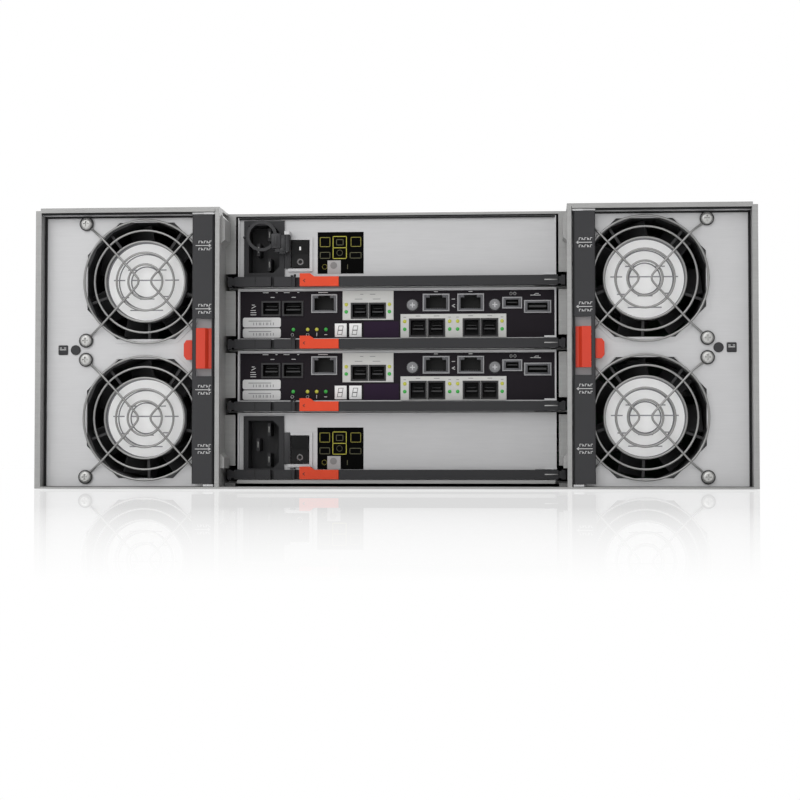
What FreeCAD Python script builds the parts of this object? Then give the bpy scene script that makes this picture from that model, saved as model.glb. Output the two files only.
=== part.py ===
"""Disk shelf enclosure, 4 rack units high, with five drive drawers at the front (+Y).

The rear (-Y) holds two full-height fan canisters, and between them two power canisters and
two controller canisters in a recessed bay. All sizes are millimetres, with +Z up, the origin
at the middle of the shelf's underside, and left and right as seen from the rear.
"""

import FreeCAD, Part
import math
import os

Vector = FreeCAD.Vector

# ---- overall size ----
depth = 825.0
body_width = 444.0
body_height = 174.0
sheet = 1.2
thin_sheet = 1.0
slide_gap = 0.3
running_gap = 0.05

# ---- rack ears ----
ear_reach = 19.3
ear_setback = 16.0
ear_plate = 2.5
ear_leg = 46.0
ear_leg_sheet = 1.6
rack_slot_inset = 8.75
rack_hole_height = 101.6
rack_slot_radius = 3.4
rack_slot_length = 10.3

# ---- rear edge of the chassis ----
hem_width = 3.5
hem_depth = 12.0
wall_flange = 12.0
cover_sheet = 1.6
cover_inset = 3.0
cover_lip = 1.3

# ---- bay between the fan canisters ----
divider_x = 108.5
divider_hem = 2.7
bay_recess = 35.0
bay_half_width = 102.0
flange_setback = 1.0
notch_below = 2.2
notch_above = 2.6
bump_reach = 4.0
bump_length = 20.0
bump_setback = 6.0
bump_height = 21.0
rail_ledge = 1.5
rail_sheet = 1.2
rail_start = 14.0
rail_upright = 8.0

# ---- canisters of the bay ----
canister_half_width = 100.5
canister_gap = 0.5
psu_height = 44.6
controller_height = 38.8
first_canister_z = 3.0
face_lip = 1.5
rebate_width = 3.5
rebate_height = rail_ledge + slide_gap

# ---- cam levers and squeeze latches ----
lever_height = 6.0
lever_thickness = 7.0
lever_rise = 0.4
lowest_lever_rise = 2.7
lever_half_length = 101.5
pivot_x = 98.0
pivot_radius = 2.0
pin_sides = 8
toe_inner = 103.7
toe_outer = 106.0
toe_reach = 3.0
pivot_ear = 1.2
latch_left = -60.2
latch_right = -35.6
latch_travel = 2.5
latch_depth = 4.6
latch_step = 2.0
latch_ramp_foot = -51.0
latch_ramp_top = -53.7
lever_groove_left = -78.5
lever_groove_right = -76.4

# ---- fan canisters ----
fan_case_shortfall = 8.0
fan_case_setback = 9.5
fan_case_side_gap = 0.3
fan_rim_setback = 1.5
fan_centre_x = 154.2
fan_pitch = 84.9
fan_size = 81.0
fan_thickness = 38.0
fan_flange = 4.0
fan_corner = 3.0
fan_bore_radius = 38.0
fan_screw_pitch = 73.0
fan_screw_radius = 2.0
screw_hole_gap = 0.3
screw_sides = 6
screw_head_sides = 6
duct_wall = 1.8
duct_sides = 16
screw_head_radius = 4.0
screw_head_height = 2.2
opening_half_width = 37.2
opening_half_height = 37.2
opening_corner = 20.0
stator_radius = 25.8
stator_depth = 6.0
strut_count = 5
strut_width = 1.6
strut_recess = 3.0
shaft_radius = 3.0
blade_count = 7
blade_tip_gap = 0.8
blade_angle = 48.0
blade_chord = 25.0
blade_thickness = 1.4
rotor_hub_radius = 25.0
rotor_depth = 26.0
fan_plug_inset = 20.0
fan_plug_width = 16.0
fan_plug_height = 40.0

# ---- wire finger guards ----
wire = 1.4
ring_radii = [10.7, 18.0, 25.0, 31.8, 38.4]
ring_sides = 12
guard_setback = 3.6
guard_apex = 3.2
loop_radius = 3.0
eye_sides = 6

# ---- fan canister handles ----
handle_inner_x = 110.3
handle_width = 13.6
handle_setback = 1.0
handle_back = 6.5
handle_flange = 1.2
handle_wall = 1.8
handle_pivot_inset = 1.5
handle_pivot_depth = 2.0
handle_pin_radius = 1.3
handle_ear = 1.2
window_low = 69.4
window_high = 105.2
window_margin = 1.4
window_edge = 2.4
fan_latch_plate = 1.8
fan_latch_low = 74.1
fan_latch_high = 99.1
fan_latch_bar = 5.6
fan_latch_travel = 2.0
tab_low = 79.7
tab_high = 91.8
tab_outer_x = 129.4

# ---- power canister face ----
inlet_left = -96.7
inlet_right = -71.0
inlet_low = 6.6
inlet_high = 42.6
inlet_wall_x = 3.1
inlet_wall_z = 2.9
inlet_depth = 17.0
inlet_body_depth = 24.0
inlet_proud = 1.6
inlet_rim = 1.2
inlet_corner = 4.0
inlet_pins = [(3.0, 9.5), (3.0, -9.5), (-4.0, 0.0)]
inlet_pin_width = 2.0
inlet_pin_height = 8.0
rocker_left = -66.6
rocker_right = -55.2
rocker_low = 12.5
rocker_high = 30.1
rocker_depth = 9.0
switch_proud = 1.2
switch_wall = 1.2
switch_rim = 2.2
rocker_swing = 10.0
rocker_axle_radius = 0.8
rocker_axle_depth = 0.2
retainer_ring_x = -84.4
retainer_ring_z = 32.1
retainer_ring_radius = 9.8
retainer_depth = 9.5
retainer_sheet = 2.4
retainer_pin_x = -68.3
retainer_pin_depth = 8.3
retainer_pin_radius = 0.9
retainer_barrel_radius = 1.8
retainer_low = 22.0
retainer_top = 32.6
retainer_band = 2.0

# ---- controller face ----
port_wall = 0.7
port_proud = 0.8
plate_sheet = 0.8
# left, right, low, high, depth: sizes across the face, heights above the canister's base
ports = [
    ("sas_a", -85.5, -73.6, 21.6, 30.9, 15.0),
    ("sas_b", -72.2, -59.1, 21.6, 30.9, 15.0),
    ("ethernet_a", -53.8, -37.5, 23.5, 35.1, 14.0),
    ("host_a", -28.6, -17.9, 19.6, 29.5, 20.0),
    ("host_b", -17.3, -6.6, 19.6, 29.5, 20.0),
    ("ethernet_b", 16.8, 33.5, 24.1, 35.0, 14.0),
    ("ethernet_c", 38.6, 55.2, 24.1, 35.0, 14.0),
    ("expansion_a", 8.2, 19.2, 7.9, 19.3, 20.0),
    ("expansion_b", 19.8, 30.8, 7.9, 19.3, 20.0),
    ("expansion_c", 42.0, 52.8, 7.9, 19.3, 20.0),
    ("expansion_d", 53.3, 64.1, 7.9, 19.3, 20.0),
    ("mini_usb", 66.8, 79.1, 25.5, 32.7, 8.0),
    ("usb", 80.4, 97.3, 22.7, 30.6, 14.0),
]
# left, right, low, high of the pale plates round the fibre and expansion ports
port_plates = [(-33.9, -1.8, 18.8, 37.1), (2.8, 69.2, 7.3, 22.2)]
# left, right, low, high of the windows cut in the face, each round one port or one group
face_windows = [
    (-85.5, -59.1, 21.6, 30.9), (-53.8, -37.5, 23.5, 35.1), (-28.6, -6.6, 19.6, 29.5),
    (16.8, 33.5, 24.1, 35.0), (38.6, 55.2, 24.1, 35.0), (8.2, 64.1, 7.9, 19.3),
    (66.8, 79.1, 25.5, 32.7), (80.4, 97.3, 22.7, 30.6),
]
thumb_screws = [(10.3, 27.9), (62.1, 27.9)]
thumb_screw_radius = 3.4

# ---- midplane ----
midplane_gap = 7.5
midplane_sheet = 2.4
connector_height = 12.0
connector_width = 120.0
drawer_plug_width = 80.0
air_slot_starts = [-190.0, -60.0, 70.0]
air_slot_length = 120.0
air_slot_height = 14.0

# ---- drawers ----
drawer_count = 5
drawer_gap = 0.7
bezel_thickness = 12.0
bezel_side_gap = 1.2
bezel_chamfer = 2.0
drawer_plug_room = 14.6
drawer_side_x = 212.0
tray_height = 30.0
drive_width = 101.6
cable_room = 22.5
drive_height = 26.1
drives_across = 4
drives_deep = 3
drive_edge = 1.5
runner_height = 12.0
runner_setback = 34.5
rib_height = 8.4
front_lever_thickness = 9.0
front_lever_height = 18.0
front_lever_inner_x = 112.0
front_pivot_x = 207.0
front_lug = 2.0
front_lug_width = 10.0
front_hook = 5.0
front_grip_depth = 4.0
runner_lip = 1.2

# ---- derived places ----
rear = -depth / 2
front = depth / 2
half = body_width / 2
ear_span = body_width + 2 * ear_reach
rack_hole_width = ear_span - 2 * rack_slot_inset
wall_inner = half - sheet
cover_z = body_height - cover_sheet
face_y = rear + bay_recess
canister_depth = depth / 3
midplane_y = face_y + canister_depth + midplane_gap
drawer_back_y = midplane_y + midplane_sheet + drawer_plug_room
fan_inner_x = divider_x + thin_sheet + slide_gap
fan_outer_x = half - hem_width - fan_case_side_gap
fan_bottom = sheet + slide_gap
fan_top = cover_z - cover_lip - slide_gap
fan_mid_z = (fan_bottom + fan_top) / 2
fan_face_y = rear + fan_case_setback
fan_case_depth = midplane_y - fan_face_y - fan_case_shortfall
fan_heights = {"upper": fan_mid_z + fan_pitch / 2, "lower": fan_mid_z - fan_pitch / 2}
drawer_pitch = (cover_z - sheet) / drawer_count
bezel_y = front - front_lever_thickness - 5.0
tray_length = bezel_y - bezel_thickness - drawer_back_y
drive_length = (tray_length - thin_sheet - cable_room) / drives_deep
ear_y = front - ear_setback
lever_back_y = face_y - face_lip - slide_gap
lever_front_y = lever_back_y - lever_thickness
pivot_y = (lever_back_y + lever_front_y) / 2

lower_controller_z = first_canister_z + psu_height + canister_gap
upper_controller_z = lower_controller_z + controller_height + canister_gap
upper_psu_z = upper_controller_z + controller_height + canister_gap
# name, height of the base, height of the canister
canisters = [
    ("lower_psu", first_canister_z, psu_height),
    ("lower_controller", lower_controller_z, controller_height),
    ("upper_controller", upper_controller_z, controller_height),
    ("upper_psu", upper_psu_z, psu_height),
]


def block(x0, x1, y0, y1, z0, z1):
    """A box between two corners."""
    return Part.makeBox(x1 - x0, y1 - y0, z1 - z0, Vector(x0, y0, z0))


def prism_y(points, y0, y1):
    """A closed outline in X and Z, carried along Y."""
    corners = [Vector(x, y0, z) for x, z in points]
    face = Part.Face(Part.makePolygon(corners + corners[:1]))
    return face.extrude(Vector(0, y1 - y0, 0))


def prism_z(points, z0, z1):
    """A closed outline in X and Y, carried up Z."""
    corners = [Vector(x, y, z0) for x, y in points]
    face = Part.Face(Part.makePolygon(corners + corners[:1]))
    return face.extrude(Vector(0, 0, z1 - z0))


def rod_y(x, z, y0, y1, radius):
    """A round bar along Y."""
    return Part.makeCylinder(radius, y1 - y0, Vector(x, y0, z), Vector(0, 1, 0))


def rod_x(x0, x1, y, z, radius):
    """A round bar across the shelf."""
    return Part.makeCylinder(radius, x1 - x0, Vector(x0, y, z), Vector(1, 0, 0))


def rod_z(x, y, z0, z1, radius):
    """A round bar along Z."""
    return Part.makeCylinder(radius, z1 - z0, Vector(x, y, z0), Vector(0, 0, 1))


def ring_points(x, z, radius, sides):
    """Corners of a many-sided outline round a centre."""
    steps = [2 * math.pi * (i + 0.5) / sides for i in range(sides)]
    return [(x + radius * math.cos(a), z + radius * math.sin(a)) for a in steps]


def drum_y(x, z, y0, y1, radius, sides):
    """A many-sided bar along Y, for round features that repeat often."""
    return prism_y(ring_points(x, z, radius, sides), y0, y1)


def drum_z(x, y, z0, z1, radius, sides):
    """An upright many-sided pin."""
    return prism_z(ring_points(x, y, radius, sides), z0, z1)


def joined(shapes):
    """One solid from pieces that overlap or share a face."""
    whole = shapes[0].fuse(shapes[1:]) if len(shapes) > 1 else shapes[0]
    return whole.removeSplitter()


def without(shape, tools):
    """The shape less every tool."""
    return shape.cut(tools) if tools else shape


def other_side(shape):
    """The same piece on the left side of the shelf."""
    return shape.mirror(Vector(0, 0, 0), Vector(1, 0, 0))


def save(name, shapes):
    """Writes one node, as a solid or as a group of separate solids."""
    solids = [solid for shape in shapes for solid in shape.Solids]
    whole = solids[0] if len(solids) == 1 else Part.makeCompound(solids)
    whole.exportStep("parts/" + name + ".step")


def octagon(x, z, half_width, half_height, corner):
    """The eight corners of a fan opening."""
    points = []
    for sx, sz in ((1, 1), (-1, 1), (-1, -1), (1, -1)):
        side = (x + sx * half_width, z + sz * (half_height - corner))
        top = (x + sx * (half_width - corner), z + sz * half_height)
        points += [side, top] if sx * sz > 0 else [top, side]
    return points


# ---------------------------------------------------------------- chassis


def chassis_tray():
    """Bent sheet floor and sides, with a thick rear edge and a flange under the cover."""
    parts = [block(-half, half, rear, bezel_y, 0, sheet)]
    wall = block(wall_inner, half, rear, bezel_y, 0, cover_z)
    hem = block(half - hem_width, half, rear, rear + hem_depth, 0, cover_z)
    flange_end = bezel_y - bezel_thickness - 1.0
    flange = block(half - wall_flange, half, rear + hem_depth, flange_end, cover_z - sheet, cover_z)
    for piece in (wall, hem, flange):
        parts += [piece, other_side(piece)]
    return joined(parts)


def top_cover():
    """Flat cover, cut back over the bay, with a lip over each fan canister."""
    cover_x = half - cover_inset
    bay_x = divider_x + thin_sheet - divider_hem
    outline = [
        (-cover_x, rear), (-bay_x, rear), (-bay_x, face_y), (bay_x, face_y), (bay_x, rear), (cover_x, rear),
        (cover_x, bezel_y), (-cover_x, bezel_y),
    ]
    plate = prism_z(outline, cover_z, body_height)
    lip = block(fan_inner_x, half - hem_width, rear, rear + sheet, cover_z - cover_lip, cover_z)
    return joined([plate, lip, other_side(lip)])


def rack_ear():
    """Angle on the side wall, with two slots for the rack's screws."""
    leg = block(half, half + ear_leg_sheet, ear_y - ear_leg, ear_y, 0, body_height)
    plate = block(half, ear_span / 2, ear_y - ear_plate, ear_y, 0, body_height)
    slots = []
    reach = rack_slot_length / 2 - rack_slot_radius
    for side in (-1, 1):
        z = body_height / 2 + side * rack_hole_height / 2
        x = rack_hole_width / 2
        low_y = ear_y - ear_plate - 1
        high_y = ear_y + 1
        middle = block(x - reach, x + reach, low_y, high_y, z - rack_slot_radius, z + rack_slot_radius)
        ends = [rod_y(x + end, z, low_y, high_y, rack_slot_radius) for end in (-reach, reach)]
        slots.append(joined([middle] + ends))
    return without(joined([leg, plate]), slots)


def drawer_mid(row):
    """Middle height of one drawer."""
    return sheet + (row + 0.5) * drawer_pitch


def lever_base(name, base_z):
    """Underside of a canister's cam lever."""
    return base_z + (lowest_lever_rise if name == "lower_psu" else lever_rise)


def bay_divider():
    """Right-hand wall of the bay with its hem, keeper tabs, slide rails and stops."""
    wall = block(divider_x, divider_x + thin_sheet, rear, midplane_y, sheet, cover_z)
    hem = block(divider_x - divider_hem + thin_sheet, divider_x, rear, rear + hem_depth, sheet, cover_z)
    flange_y = face_y - flange_setback
    tabs = []
    rails = []
    tab_low = sheet
    for name, base_z, _ in canisters:
        low = lever_base(name, base_z)
        tabs.append(block(bay_half_width, divider_x, flange_y, flange_y + sheet, tab_low, low - notch_below))
        tab_low = low + lever_height + notch_above
        rail_y = face_y + rail_start
        ledge_x = canister_half_width - rebate_width + slide_gap
        ledge = block(ledge_x, divider_x, rail_y, midplane_y, base_z, base_z + rail_ledge)
        upright = block(divider_x - rail_sheet, divider_x, rail_y, midplane_y, base_z, base_z + rail_upright)
        rails.append(joined([ledge, upright]))
    tabs.append(block(bay_half_width, divider_x, flange_y, flange_y + sheet, tab_low, cover_z))
    stops = []
    toe_top = lever_base("lower_psu", first_canister_z) + lever_height + 1
    tip = divider_x - bump_reach
    low_end = sheet + 1 + bump_height
    high_end = cover_z - 1
    for outline in (
        [(divider_x, toe_top), (tip, toe_top), (tip, low_end - bump_reach), (divider_x, low_end)],
        [(divider_x, high_end - bump_height), (tip, high_end - bump_height + bump_reach),
         (tip, high_end - bump_reach), (divider_x, high_end)],
    ):
        stops.append(without(prism_y(outline, rear + bump_setback, rear + bump_setback + bump_length), [hem]))
    return [wall, hem] + tabs + rails + stops


def midplane():
    """Circuit board across the chassis, with slots for the cooling air."""
    board = block(-wall_inner, wall_inner, midplane_y, midplane_y + midplane_sheet, sheet, cover_z - sheet)
    slots = []
    for row in range(drawer_count):
        low = drawer_mid(row) + connector_height / 2 + 1
        high = low + air_slot_height
        for x in air_slot_starts:
            x1 = x + air_slot_length
            slots.append(block(x, x1, midplane_y - 1, midplane_y + midplane_sheet + 1, low, high))
    return without(board, [slot for slot in slots if slot.BoundBox.ZMax < cover_z - 3])


def midplane_connectors():
    """Plug blocks on both faces of the board, one for each canister and drawer."""
    blocks = []
    canister_end = face_y + canister_depth + slide_gap
    x = connector_width / 2
    for _, base_z, height in canisters:
        low = base_z + (height - connector_height) / 2
        blocks.append(block(-x, x, canister_end, midplane_y, low, low + connector_height))
    fan_end = fan_face_y + fan_case_depth + slide_gap
    for side in (-1, 1):
        x = side * (fan_outer_x - fan_plug_inset)
        reach = fan_plug_width / 2
        low = fan_mid_z - fan_plug_height / 2
        blocks.append(block(x - reach, x + reach, fan_end, midplane_y, low, low + fan_plug_height))
    board_front = midplane_y + midplane_sheet
    x = drawer_plug_width / 2
    for row in range(drawer_count):
        low = drawer_mid(row) - connector_height / 2
        blocks.append(block(-x, x, board_front, drawer_back_y - slide_gap, low, low + connector_height))
    return blocks


def drawer_runner(mid_z):
    """Fixed channel of one drawer slide, on the right-hand side wall."""
    y0 = drawer_back_y + runner_setback
    y1 = bezel_y - bezel_thickness - 1.0
    low = mid_z - runner_height / 2
    high = mid_z + runner_height / 2
    edge_x = drawer_side_x + 1.5
    web_x = wall_inner - runner_lip
    outline = [
        (wall_inner, low), (edge_x, low), (edge_x, low + runner_lip), (web_x, low + runner_lip),
        (web_x, high - runner_lip), (edge_x, high - runner_lip), (edge_x, high), (wall_inner, high),
    ]
    return prism_y(outline, y0, y1)


# ---------------------------------------------------------------- fan canisters


def fan_case():
    """Sheet shell of the right-hand fan canister, open towards the drives."""
    back_y = fan_face_y + fan_case_depth
    shell = block(fan_inner_x, fan_outer_x, fan_face_y, back_y, fan_bottom, fan_top)
    hollow = block(
        fan_inner_x + thin_sheet, fan_outer_x - thin_sheet, fan_face_y + sheet, back_y + 1,
        fan_bottom + thin_sheet, fan_top - thin_sheet,
    )
    tools = [hollow]
    half_pitch = fan_screw_pitch / 2
    for z in fan_heights.values():
        outline = octagon(fan_centre_x, z, opening_half_width, opening_half_height, opening_corner)
        tools.append(prism_y(outline, fan_face_y - 1, fan_face_y + sheet + 1))
        for sx in (-1, 1):
            for sz in (-1, 1):
                x = fan_centre_x + sx * half_pitch
                y1 = fan_face_y + sheet + 1
                radius = fan_screw_radius + screw_hole_gap
                tools.append(drum_y(x, z + sz * half_pitch, fan_face_y - 1, y1, radius, screw_sides))
    case = without(shell, tools)
    rim = block(fan_inner_x, fan_outer_x, rear + fan_rim_setback, fan_face_y, fan_top - thin_sheet, fan_top)
    plug_x = fan_outer_x - fan_plug_inset - fan_plug_width / 2
    plug_low = fan_mid_z - fan_plug_height / 2
    plug = block(plug_x, fan_outer_x, back_y - fan_plug_inset, back_y, plug_low, plug_low + fan_plug_height)
    ears = []
    bores = []
    pivot = handle_inner_x + handle_pivot_inset
    pin_y = rear + handle_setback + handle_pivot_depth
    for low in (fan_bottom, fan_top - handle_ear):
        high = low + handle_ear
        ears.append(block(fan_inner_x + 0.6, pivot + 5, rear + handle_setback, fan_face_y, low, high))
        bores.append(rod_z(pivot, pin_y, low - 1, high + 1, handle_pin_radius + running_gap))
    return without(joined([case, rim, plug] + ears), bores)


def fan_frame(z):
    """Moulded frame of one fan: two square flanges, the duct, and the stator on its struts."""
    x = fan_centre_x
    y0 = fan_face_y + sheet
    y1 = y0 + fan_thickness
    side = fan_size / 2
    parts = [drum_y(x, z, y0, y1, fan_bore_radius + duct_wall, duct_sides)]
    for low in (y0, y1 - fan_flange):
        plate = block(x - side, x + side, low, low + fan_flange, z - side, z + side)
        along = [edge for edge in plate.Edges if abs(edge.tangentAt(edge.FirstParameter).y) > 0.9]
        parts.append(plate.makeChamfer(fan_corner, along))
    tools = [drum_y(x, z, y0 - 1, y1 + 1, fan_bore_radius, duct_sides)]
    for sx in (-1, 1):
        for sz in (-1, 1):
            hole_x = x + sx * fan_screw_pitch / 2
            hole_z = z + sz * fan_screw_pitch / 2
            radius = fan_screw_radius + screw_hole_gap
            tools.append(drum_y(hole_x, hole_z, y0 - 1, y0 + fan_flange + 1, radius, screw_sides))
    frame = without(joined(parts), tools)
    stator = [drum_y(x, z, y0, y0 + stator_depth, stator_radius, duct_sides)]
    shaft_end = y0 + stator_depth + rotor_depth - 4
    stator.append(drum_y(x, z, y0, shaft_end, shaft_radius, pin_sides))
    for step in range(strut_count):
        strut = block(
            stator_radius - 2, fan_bore_radius + 0.5, y0 + strut_recess, y0 + stator_depth,
            -strut_width / 2, strut_width / 2,
        )
        strut.rotate(Vector(0, 0, 0), Vector(0, 1, 0), 20 + step * 360 / strut_count)
        strut.translate(Vector(x, 0, z))
        stator.append(strut)
    return joined([frame] + stator)


def fan_blade(tip):
    """A flat slanted blade, from inside the hub to its tip."""
    angle = math.radians(blade_angle)
    along = Vector(0, math.sin(angle), math.cos(angle))
    across = Vector(0, math.cos(angle), -math.sin(angle))
    root = rotor_hub_radius - 3
    corners = []
    for sa, st in ((-1, -1), (1, -1), (1, 1), (-1, 1)):
        reach = along * (sa * blade_chord / 2) + across * (st * blade_thickness / 2)
        corners.append(Vector(root, 0, 0) + reach)
    return Part.Face(Part.makePolygon(corners + corners[:1])).extrude(Vector(tip - root, 0, 0))


def fan_rotor(z):
    """Hub cup with slanted blades, running on the stator's shaft."""
    y0 = fan_face_y + sheet + stator_depth + slide_gap
    hub = drum_y(0, 0, -rotor_depth / 2, rotor_depth / 2, rotor_hub_radius, duct_sides)
    tip_half = blade_chord / 2 * math.cos(math.radians(blade_angle)) + blade_thickness
    tip = math.sqrt((fan_bore_radius - blade_tip_gap) ** 2 - tip_half ** 2)
    blade = fan_blade(tip)
    blades = []
    for step in range(blade_count):
        copy = blade.copy()
        copy.rotate(Vector(0, 0, 0), Vector(0, 1, 0), step * 360 / blade_count)
        blades.append(copy)
    bore = rod_y(0, 0, -rotor_depth / 2 - 1, rotor_depth / 2 - 3, shaft_radius + running_gap)
    rotor = without(joined([hub] + blades), [bore])
    rotor.translate(Vector(fan_centre_x, y0 + rotor_depth / 2, z))
    return rotor


def wire_run(start, end, y0, y1):
    """A straight length of square-drawn guard wire, from one depth to another."""
    dx = end[0] - start[0]
    dz = end[1] - start[1]
    length = math.hypot(dx, dz)
    side = Vector(-dz / length, 0, dx / length) * (wire / 2)
    near = Vector(start[0], y0, start[1])
    corners = [near + side, near - side]
    corners += [corner + Vector(0, wire, 0) for corner in reversed(corners)]
    shift = Vector(dx, y1 - y0, dz)
    return Part.Face(Part.makePolygon(corners + corners[:1])).extrude(shift)


def wire_ring(x, z, y, radius, sides):
    """A guard ring of many short flats."""
    outer = drum_y(x, z, y, y + wire, radius + wire / 2, sides)
    return without(outer, [drum_y(x, z, y - 1, y + wire + 1, radius - wire / 2, sides)])


def fan_guard(z):
    """Welded wire guard: five rings behind two bent wires, with an eye at each screw."""
    x = fan_centre_x
    wire_y = rear + guard_setback
    ring_y = wire_y + wire
    eye_y = fan_face_y - wire
    rings = [wire_ring(x, z, ring_y, radius, ring_sides) for radius in ring_radii]
    screw = fan_screw_pitch / 2
    knee = screw - 8.4
    foot = screw - 3.5
    eye = screw - 2.0
    bent_wires = []
    for sx in (-1, 1):
        runs = []
        tip = (x + sx * guard_apex, z)
        for sz in (-1, 1):
            bend = (x + sx * knee, z + sz * knee)
            end = (x + sx * foot, z + sz * foot)
            runs.append(wire_run(tip, bend, wire_y, wire_y))
            runs.append(wire_run(bend, end, wire_y, eye_y))
            runs.append(wire_run(end, (x + sx * eye, z + sz * eye), eye_y, eye_y))
            runs.append(wire_ring(x + sx * screw, z + sz * screw, eye_y, loop_radius, eye_sides))
        bent_wires.append(joined(runs))
    return rings + bent_wires


def fan_screws(z):
    """The four screws that hold one guard and its fan."""
    screws = []
    pitch = fan_screw_pitch / 2
    eye_y = fan_face_y - wire
    for sx in (-1, 1):
        for sz in (-1, 1):
            place = (fan_centre_x + sx * pitch, z + sz * pitch)
            head = drum_y(*place, eye_y - screw_head_height, eye_y, screw_head_radius, screw_head_sides)
            shank = drum_y(*place, eye_y, fan_face_y + sheet + 8, fan_screw_radius, screw_sides)
            screws.append(joined([head, shank]))
    return screws


def fan_handle():
    """Tall dark pull of the fan canister: an angle with a window for its latch."""
    x0 = handle_inner_x
    x1 = x0 + handle_width
    y0 = rear + handle_setback
    plate_back = y0 + handle_wall
    flange_x = x0 + handle_flange
    chamfer = 1.1
    outline = [
        (x0 + chamfer, y0), (x1 - 0.6, y0), (x1, y0 + 0.6), (x1, plate_back),
        (flange_x, plate_back), (flange_x, rear + handle_back), (x0, rear + handle_back), (x0, y0 + chamfer),
    ]
    low = fan_bottom + handle_ear + slide_gap
    high = fan_top - handle_ear - slide_gap
    angle = prism_z(outline, low, high)
    window = block(x0 + window_margin, x1 - window_edge, y0 - 1, plate_back + 1, window_low, window_high)
    relief = block(x0 - 1, flange_x + 0.1, plate_back, rear + handle_back + 1, window_low, window_high)
    parts = [without(angle, [window, relief])]
    pin_x = x0 + handle_pivot_inset
    pin_y = y0 + handle_pivot_depth
    for z0, z1 in ((fan_bottom, low + 3), (high - 3, fan_top)):
        parts.append(drum_z(pin_x, pin_y, z0, z1, handle_pin_radius, pin_sides))
    return joined(parts)


def fan_latch():
    """Bright sliding catch in the handle's window, with a tab past the handle's outer edge."""
    x0 = handle_inner_x + window_margin + 0.2
    x1 = handle_inner_x + handle_width - window_edge - 0.2
    y0 = rear + handle_setback - 0.4
    seat = rear + handle_setback + handle_wall + slide_gap
    back = seat + fan_latch_plate
    slope_foot = x0 + fan_latch_travel
    outline = [(x1 - fan_latch_bar, y0), (x1, y0), (x1, back), (x0, back), (x0, seat), (slope_foot, seat)]
    bar = prism_z(outline, fan_latch_low, fan_latch_high)
    neck = block(x1, tab_outer_x - 4.0, seat, back, tab_low, tab_high)
    tab_x = tab_outer_x - 4.0
    tab_outline = [
        (tab_x, tab_low), (tab_outer_x - 1.6, tab_low), (tab_outer_x, tab_low + 2.2),
        (tab_outer_x, tab_high - 2.2), (tab_outer_x - 1.6, tab_high), (tab_x, tab_high),
    ]
    tab = prism_y(tab_outline, seat, fan_face_y - wire - slide_gap)
    return joined([bar, neck, tab])


# ---------------------------------------------------------------- bay canisters


def canister_shell(base_z, height, tools):
    """Sheet box of a bay canister, rebated along its lower edges for the rails."""
    back = face_y + canister_depth
    w = canister_half_width

    def outline(inset):
        x = w - inset
        step = w - rebate_width - inset
        low = base_z + inset
        shoulder = base_z + rebate_height + inset
        high = base_z + height - inset
        return [
            (-step, low), (step, low), (step, shoulder), (x, shoulder),
            (x, high), (-x, high), (-x, shoulder), (-step, shoulder),
        ]

    box = prism_y(outline(0), face_y - face_lip, back)
    rim = prism_y(outline(thin_sheet), face_y - face_lip - 1, face_y)
    inside = prism_y(outline(thin_sheet), face_y + sheet, back - sheet)
    return without(box, [rim, inside] + tools)


def lever_clearance(base):
    """Room for the turning cam toe at the canister's right-hand corner."""
    reach = toe_outer - pivot_x + 4.2
    low = base - slide_gap
    high = base + lever_height + slide_gap
    slot = rod_z(pivot_x, pivot_y, low, high, reach)
    x = canister_half_width + 1
    lip = block(-x, x, face_y - face_lip - 1, face_y, low - 3, high)
    return [slot, lip]


def pivot_bracket(base):
    """Ear over the cam lever, with the pivot pin that hangs from it."""
    low = base + lever_height + slide_gap
    ear = block(pivot_x - 5, canister_half_width, lever_front_y + 0.8, face_y + 0.5, low, low + pivot_ear)
    pin = drum_z(pivot_x, pivot_y, base, low + pivot_ear, pivot_radius, pin_sides)
    return [ear, pin]


def cam_lever(base):
    """Pull lever along the foot of a canister, with a cam toe at each end."""
    high = base + lever_height
    bar = block(-lever_half_length, lever_half_length, lever_front_y, lever_back_y, base, high)
    parts = [bar]
    front_y = lever_front_y + 1
    toe = block(toe_inner - 0.2, toe_outer, front_y, face_y + toe_reach, base, high)
    neck = block(lever_half_length - 1, toe_inner, front_y, lever_back_y, base + 0.8, high - 0.8)
    for piece in (toe, neck):
        parts += [piece, other_side(piece)]
    lever = joined(parts)
    pocket = block(
        latch_left - latch_travel - 2 * slide_gap, latch_right + slide_gap,
        lever_front_y - 1, lever_front_y + latch_depth + slide_gap, base - 1, high + 1,
    )
    groove_y = lever_front_y + latch_depth
    groove = block(lever_groove_left, lever_groove_right, lever_front_y - 1, groove_y, base - 1, high + 1)
    bore = rod_z(pivot_x, pivot_y, base - 1, high + 1, pivot_radius + running_gap)
    return without(lever, [pocket, groove, bore])


def squeeze_latch(base):
    """Bright thumb piece that slides in the lever's pocket."""
    high = base + lever_height
    outline = [
        (latch_left, base), (latch_right, base), (latch_right, high),
        (latch_ramp_foot, high), (latch_ramp_top, high + latch_step), (latch_left, high + latch_step),
    ]
    return prism_y(outline, lever_front_y - 0.4, lever_front_y + latch_depth)


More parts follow.
